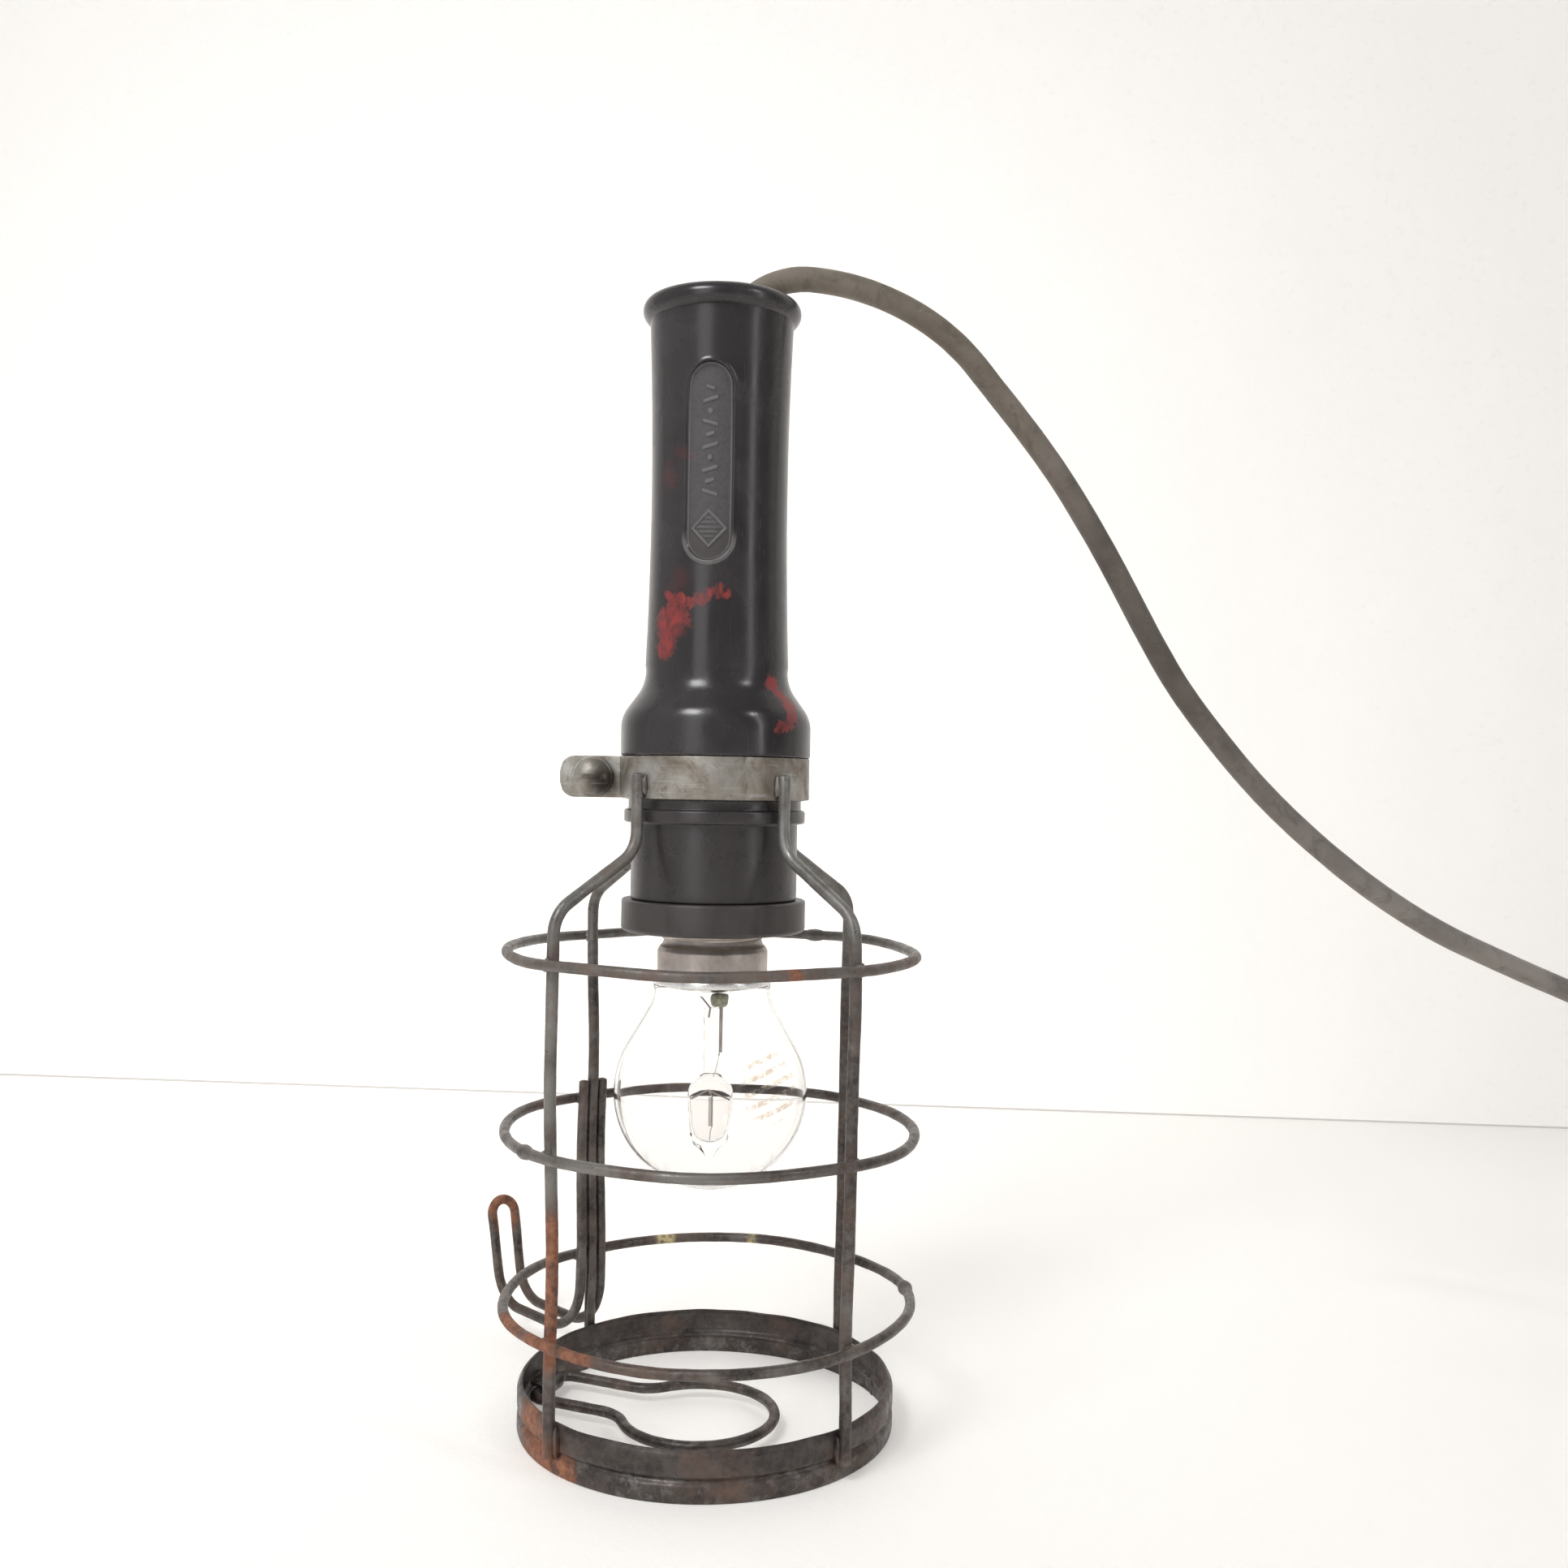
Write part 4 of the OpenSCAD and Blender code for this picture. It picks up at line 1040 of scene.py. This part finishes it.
def build_handle():
    """Grooved neck, flared foot, waisted grip with a panel, rolled rim and stepped bore."""
    corners = [
        (18, 120.3), (19, 120.3), (19, 126), (20, 126), (20, 144.3), (21.8, 144.3), (21.8, 147.5),
        (20.8, 147.5), (20.8, 149.8), (21.8, 149.8), (21.8, 160.05), (22.85, 160.05), (22.85, 166.9),
    ]
    radii = [0.3, 0.2, 0.4, 0.4, 0.6, 0.6, 0.3, 0.3, 0.4, 0.2, 0.6]
    neck = rounded_path(corners, radii, step=0.15, straight_step=1.6)
    foot = arc((14.85, 166.9), 8, 0, 36, 14)[1:] + arc((27.1, 180.7), 10, 216, 180, 14)
    low, high = PANEL_Z - PANEL_LONG - 1.5, PANEL_Z + PANEL_LONG + 1.5
    heights = [*np.arange(182, low, 1.2), *np.arange(low, high, 0.19), *np.arange(high, 264.4, 1.0)]
    grip = [(grip_radius(z), z) for z in heights]
    bead = arc((grip_radius(264) - 1, TOP_Z - RIM_BEAD_R), RIM_BEAD_R, -66, 180, 40)
    bore = [(13, 266), (13, 254), (5.05, 254), (5.05, 246)]
    socket = [(12.2, 246), (12.2, 143.05), (17, 143.05), (17, 120.3)]
    turn = math.radians(PANEL_AZIMUTH)
    angles = turn + np.radians([*np.arange(-21, 21.1, 0.62), *np.arange(24, 336.1, 3.0)])

    def press(r, z, a):
        if not low < z < high or r < 14:
            return r, z
        u = r * math.remainder(a - turn, 2 * math.pi)
        v = z - PANEL_Z
        edge = math.hypot(u, max(0.0, abs(v) - (PANEL_LONG - PANEL_HALF))) - PANEL_HALF
        sunk = soft_step(edge, 0.9)
        floor = PANEL_FLOOR + 0.35 * panel_marks(u, v)
        return r + 0.22 * bell(edge, 0.55, 0.45) * (1 - sunk) + (floor - r) * sunk, z

    shape = revolve([*neck, *foot, *grip, *bead, *bore, *socket], angles=angles, press=press)
    make_piece("handle_moulding", shape, "handle", MOULDING, "handle_shell")


def build_retaining_ring():
    """The ring that screws on at the handle's mouth and holds the holder in."""
    corners = [(22.2, 118.3), (22.2, 125.9), (19.05, 125.9), (19.05, 120.25), (15.2, 120.25), (15.2, 118.3)]
    outline = rounded_path(corners, [1.1, 0.6, 0.2, 0.2, 0.3, 0.6], step=0.2, straight_step=1.0, closed=True)
    shape = revolve(outline, 160, press=lambda r, z, a: (r + 0.12 * round_noise(a, z, 3, 5), z))
    make_piece("holder_ring", shape, "handle", DUSTY_MOULDING, "retaining_ring")


# ---- the bulb

def glass_outline(inset):
    """Outside of the glass, or its inside when moved in by the wall."""
    shoulder = 28.8
    turn = math.radians(shoulder)
    neck_z = BALL_Z + (BALL_R + SHOULDER_R - (BULB_NECK_R + SHOULDER_R) * math.cos(turn)) / math.sin(turn)
    ball = arc((0, BALL_Z), BALL_R - inset, -90, shoulder, 60)
    return ball + arc((BULB_NECK_R + SHOULDER_R, neck_z), SHOULDER_R + inset, 180 + shoulder, 180, 14)


def build_glass():
    """The envelope, with its neck drawn in under the cap."""
    outer = fill(glass_outline(0) + [(14.2, 105.7), (13.6, 106.0), (12.9, 106.6), (12.8, 112)], 2.0)
    inner = fill(glass_outline(0.7) + [(13.2, 105.4), (12.5, 106.0), (12.1, 107), (12.0, 112)], 2.0)
    shape = revolve([*outer, *reversed(inner)], 160)
    make_piece("bulb_envelope", shape, "bulb", GLASS, "bulb_glass")


def build_cap():
    """Screw cap of rolled sheet: a bead, a skirt, a hollow shoulder and a helical thread."""
    corners = [(13.5, 105.6), (14.4, 105.6), (14.4, 107.1), (13.3, 107.7), (13.3, 113.6), (12.7, 114.6)]
    skirt = rounded_path(corners, [0.4, 0.6, 0.5, 1.0], step=0.12, straight_step=0.6)
    shoulder = arc((13.9, 116.3), 2.1, 235, 180, 10)
    thread = [(12.1, z) for z in np.arange(116.5, 129, 0.15)]
    top = rounded_path([(12.1, 129), (11.4, 130.4), (8, 131)], [1.2], step=0.2)
    outer = [*skirt, *shoulder, *thread, *top]
    inner = [(r - CAP_SHEET, z) for r, z in reversed(outer[2:])]

    def press(r, z, a):
        fade = between(116.0, 117.4, 127.6, 129, z)
        return r + fade * 0.55 * math.cos(2 * math.pi * (z - 117.6) / THREAD_PITCH - a), z

    make_piece("screw_cap", revolve(outer + inner, 120, press=press), "bulb", CAP_METAL, "bulb_cap")


def build_capsule():
    """Small halogen capsule, drawn in at its foot to a sealing nipple."""
    outer = [
        (0, 62.3), (0.55, 62.5), (0.95, 63.3), (1.5, 64.3), (2.5, 65.5), (3.6, 66.6), (4.3, 68.0),
        (4.8, 70.2), (5.2, 73.4), (5.45, 76.4), (5.5, 78.4), (5.2, 80.2), (4.3, 81.6), (3.1, 82.5),
        (2.2, 83.4), (0, 83.8),
    ]
    inner = [
        (0, 82.0), (2.2, 81.7), (3.9, 80.5), (4.8, 78.6), (4.8, 76.4), (4.5, 73.4), (4.1, 70.6), (3.4, 68.8),
        (1.8, 67.4), (0, 67.0),
    ]

    def press(r, z, a):
        lumpy = 0.012 + 0.16 * (1 - smoothstep(66.5, 71.5, z))
        return r * (1 + lumpy * round_noise(a, z, 1.4, 1.3)), z

    shape = revolve(smooth_curve(outer, 5) + smooth_curve(inner, 5), 56, press=press)
    make_piece("capsule_body", shape, "bulb", QUARTZ, "halogen_capsule")


def build_stem():
    """Glass rod from the capsule to the mount, and the flare that seals it to the neck."""
    rod = [(0, 83.9), *[(1.9, z) for z in np.arange(84.0, 99.4, 0.35)], (0, 99.5)]
    corners = [(3.2, 104.2), (11.4, 105.6), (11.9, 107.2), (11.2, 107.2), (10.8, 106.2), (3.2, 105.1)]
    flare = rounded_path(corners, [0.3, 1.5, 0.3, 0.3, 1.5, 0.3], step=0.2, closed=True)

    def press(r, z, a):
        return r * (1 + 0.10 * round_noise(a, z, 0.9, 1.6)), z

    shape = join([revolve(rod, 40, centre=(0.1, 0), press=press), revolve(flare, 72)])
    make_piece("stem_rod", shape, "bulb", QUARTZ, "capsule_stem")


def build_mount():
    """Squarish lump of sealing glass at the top of the stem."""
    vertices, faces = blob((0, 0, 0), (1, 1, 1), 7, 0.30, rings=22, sides=32)
    square = vertices / (np.abs(vertices) ** 4).sum(axis=1, keepdims=True) ** 0.25
    vertices = np.array((1.9, 0, 101.8)) + (0.3 * vertices + 0.7 * square) * (2.2, 2.0, 2.15)
    make_piece("stem_mount", (vertices, faces), "bulb", MOUNT_GLASS)


def build_leads():
    """The thick lead, the thin one cut off beside it, and a strut down to the capsule."""
    thick = fill([(2.25, -0.3, 88.9), (2.3, -0.3, 99.8)], 1.0)
    thin = fill([(-2.7, -0.4, 102.4), (-0.3, -0.4, 99.4), (-0.6, -0.4, 97.2)], 0.6)
    strut = fill([(2.25, -0.3, 89.0), (1.1, -0.2, 84.5), (0.6, 0, 82.6)], 0.8)
    shape = join([tube(thick, 0.45, 12), tube(thin, 0.22, 10), tube(strut, 0.08, 8)])
    make_piece("support_wires", shape, "bulb", TUNGSTEN, "lead_wires")


def build_filament():
    """Axial coil hung from a bent spring wire that spans the capsule's shoulder."""
    turns, per_turn, low, high, coil_r, coil_x = 19, 14, 70.8, 78.0, 0.45, 0.1
    coil = []
    for i in range(turns * per_turn + 1):
        a = 2 * math.pi * i / per_turn
        z = low + (high - low) * i / (turns * per_turn)
        coil.append((coil_r * math.cos(a) + coil_x, coil_r * math.sin(a), z))
    start = coil_r + coil_x
    corners = [(-4.7, 0, 77.4), (-0.6, 0, 79.6), (4.7, 0, 77.3)]
    spring = rounded_path(corners, [0.6], step=0.2, straight_step=0.5)
    hanger = fill([(-0.5, 0, 79.5), (start, 0, high)], 0.4)
    tail = rounded_path([(start, 0, low), (0.1, 0, 69.6), (0, 0, 67.2)], [1.0], step=0.3, straight_step=0.5)
    shape = join([tube(coil, 0.12, 8), tube(spring, 0.24, 10), tube(hanger, 0.14, 8), tube(tail, 0.1, 8)])
    make_piece("filament_coil", shape, "bulb", TUNGSTEN, "filament")


# ---- the cable and the plug

def build_cable():
    """The cable, up out of the bush, over in one long swoop and down to the plug."""
    run = [
        (0, 256.05), (0, 278.5), (48.7, 276.3), (82.8, 240.9), (123.7, 177.2), (163.9, 130.9), (285, 82.5),
        (285, 18),
    ]
    x, y, z = PLUG_ORIGIN
    corners = [*stand_up(run, 90 + CABLE_TURN), (x, y - 8, z)]
    points = rounded_path(corners, [22, 60, 150, 150, 200, 45, 32], step=2.0)
    count = len(points)
    for i, point in enumerate(points):
        point += wobble(point, 45.0, 1.2 * between(0.06, 0.2, 0.72, 0.88, i / count), 9)
    shape = tube(points, CABLE_R, 32, swell=0.02, seed=51)
    make_piece("cable_sheath", shape, "cable", RUBBER, "cable_outer")


def build_plug():
    """A fluted cover, a round face with a recessed screw, and two round pins with collars."""
    seat = CABLE_R + 0.05
    outside = [(seat, 0.4), (CABLE_R + 0.5, 0), (5.0, 0)] + arc((5.5, 6), 6, -60, -20, 10)
    outside += arc((PLUG_R - 10, 20), 10, -30, 0, 12) + [(PLUG_R, z) for z in np.arange(21, 29.4, 0.6)]
    outside += arc((PLUG_R - 0.5, 29.5), 0.5, 0, 90, 4)
    inside = [(PLUG_R - 2.5, 30), (PLUG_R - 2.5, 26), (9, 12), (seat, 11)]

    def flutes(r, z, a):
        share = between(12, 16, 26, 28.5, z) if r > 12 else 0
        return r - 0.55 * share * (0.5 - 0.5 * math.cos(18 * a)) ** 2, z

    cover = revolve(outside + inside, 216, press=flutes)
    make_piece("plug_body", facing_front(cover, PLUG_ORIGIN), "cable", MOULDING, "plug_cover")
    rim = arc((PLUG_R - 1, PLUG_FACE_Z - 1), 1, 0, 90, 6)
    face = revolve([(0, 30.05), (PLUG_R - 0.4, 30.05), (PLUG_R, 30.45), *rim, (0, PLUG_FACE_Z)], 96)
    base = make_piece("plug_face", facing_front(face, PLUG_ORIGIN), "cable", MOULDING, "plug_base")
    carve(base, facing_front(cylinder(3.1, 35.2, 39, 48), PLUG_ORIGIN))
    ease_edges(base, 0.2)
    pin = [(0, 36), (3.1, 36), (3.1, 37.5), (2.9, 37.8), (2.4, 37.8), (2.4, 45), (2.4, 50)]
    pin += arc((0, 56 - 2.4), 2.4, 0, 90, 10)
    pins = join([revolve(pin, 40, centre=(side * PIN_OFFSET, 0)) for side in (-1, 1)])
    make_piece("contact_pins", facing_front(pins, PLUG_ORIGIN), "cable", NICKEL, "plug_pins")


# ---- parts shown as the frame has them

FRAME_FINISHES = [
    (PORCELAIN, ["holder_insert"]),
    (BRASS, ["screw_shell", "contact_rivet", "shell_rivet", "centre_contact"]),
    (BRASS, ["live_terminal", "neutral_terminal"]),
    (NICKEL, ["terminal_screws", "cord_grip_screws", "bulb_tip_contact", "plug_pin_screws", "plug_screw"]),
    (FIBRE, ["cord_grip_front", "cord_grip_rear"]),
    (RUBBER, ["cable_bush", "cable_inner"]),
    (CORE_BROWN, ["live_core"]),
    (CORE_BLUE, ["neutral_core"]),
    (BLACK_GLASS, ["bulb_cap_insulator"]),
]


def finish_frame_parts():
    for (material, slot), nodes in FRAME_FINISHES:
        for node in nodes:
            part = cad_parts[node]
            part.data.materials.clear()
            part.data.materials.append(material)


# ---- stage, lights and camera, in metres

PLASTER = (0.88, 0.860, 0.832)
SHADED_PLASTER = (0.62, 0.60, 0.58)
STAGE_HALF = 2.5
WALL_TURN = -4.4
LAMP_TARGET = (0, 0, 0.13)
CAMERA_AT = (0.0213, -0.3733, 0.1545)
CAMERA_YAW = 0.716
CAMERA_DIP = 0.094
CAMERA_ROLL = 0.9035
LENS_MM = 35.455
SENSOR_MM = 36
# Each lamp's azimuth, elevation, distance, width, height and power
LAMPS = {
    "lamp_left": (-33, 48, 1.25, 0.36, 0.33, 6.0),
    "lamp_right": (57, 42, 1.35, 0.16, 0.16, 1.1),
    "strip_left": (-24, 20, 1.3, 0.48, 1.3, 2.8),
    "strip_right": (58, 20, 1.35, 0.09, 1.3, 2.2),
}


def stage_card(name, corners, *looks, **sides):
    mesh = bpy.data.meshes.new(name)
    mesh.from_pydata(corners, [], [(0, 1, 2, 3)])
    mesh.materials.append(plaster(name + "_card", *looks, **sides)[0])
    card = bpy.data.objects.new(name, mesh)
    bpy.context.scene.collection.objects.link(card)


def build_room():
    """A floor, and a wall a little behind the lamp that stands on a thin dark strip of painted shadow."""
    h = STAGE_HALF
    turn = math.radians(WALL_TURN)
    ax, bx = -h * math.cos(turn), h * math.cos(turn)
    ay, by = WALL_Y - h * math.sin(turn), WALL_Y + h * math.sin(turn)
    stage_card("floor", [(-h, -h, 0), (h, -h, 0), (h, h, 0), (-h, h, 0)], PLASTER, 0.33)
    wall = [(ax, ay, SHADOW_LINE_H), (bx, by, SHADOW_LINE_H), (bx, by, h), (ax, ay, h)]
    stage_card("wall", wall, PLASTER, 0.40, one_sided=True)
    # A thin dark strip of painted shadow where the wall meets the floor.
    seam = [(ax, ay, 0), (bx, by, 0), (bx, by, SHADOW_LINE_H), (ax, ay, SHADOW_LINE_H)]
    stage_card("seam", seam, SHADED_PLASTER, 0.25, one_sided=True)


def build_world():
    """Soft white light from all round, weaker from the right."""
    world = bpy.data.worlds.new("studio")
    world.use_nodes = True
    nodes, links = world.node_tree.nodes, world.node_tree.links
    sides = nodes.new("ShaderNodeSeparateXYZ")
    links.new(nodes.new("ShaderNodeTexCoord").outputs["Generated"], sides.inputs["Vector"])
    strength = nodes.new("ShaderNodeMapRange")
    for key, value in {"From Min": -1.0, "From Max": 0.8, "To Min": 0.62, "To Max": 0.17}.items():
        strength.inputs[key].default_value = value
    links.new(sides.outputs["X"], strength.inputs["Value"])
    nodes["Background"].inputs["Color"].default_value = (0.98, 0.985, 1.0, 1.0)
    links.new(strength.outputs["Result"], nodes["Background"].inputs["Strength"])
    bpy.context.scene.world = world


def build_lamps():
    """Rectangular lamps that face the target, placed by an azimuth counted from the front."""
    for name, (azimuth, elevation, distance, width, height, power) in LAMPS.items():
        data = bpy.data.lights.new(name, "AREA")
        data.shape = "RECTANGLE"
        data.size, data.size_y = width, height
        data.energy = power
        lamp = bpy.data.objects.new(name, data)
        bpy.context.scene.collection.objects.link(lamp)
        e = math.radians(elevation)
        away = Vector(ring_point(azimuth, math.cos(e), math.sin(e)))
        lamp.location = Vector(LAMP_TARGET) + away * distance
        lamp.rotation_euler = away.to_track_quat("Z", "Y").to_euler()


def build_camera():
    """A short lens close to the lamp, level with the top of its cage."""
    data = bpy.data.cameras.new("camera")
    data.sensor_width = SENSOR_MM
    data.lens = LENS_MM
    data.clip_start = 0.01
    camera = bpy.data.objects.new("camera", data)
    bpy.context.scene.collection.objects.link(camera)
    turns = ((CAMERA_YAW, "Z"), (90 - CAMERA_DIP, "X"), (CAMERA_ROLL, "Z"))
    yaw, pitch, roll = (Matrix.Rotation(math.radians(angle), 4, axis) for angle, axis in turns)
    camera.matrix_world = Matrix.Translation(CAMERA_AT) @ yaw @ pitch @ roll
    bpy.context.scene.camera = camera
    bpy.context.scene.view_settings.view_transform = "Standard"


BUILDERS = [
    build_rods, build_hoops, build_welds, build_end_ring, build_side_hook, build_hanging_loop,
    build_loop_clip, build_clamp_band, build_clamp_nut, build_clamp_screw, build_handle,
    build_retaining_ring, build_glass, build_cap, build_capsule, build_stem, build_mount, build_leads,
    build_filament, build_cable, build_plug, finish_frame_parts, build_room, build_world, build_lamps,
    build_camera,
]
for build in BUILDERS:
    build()
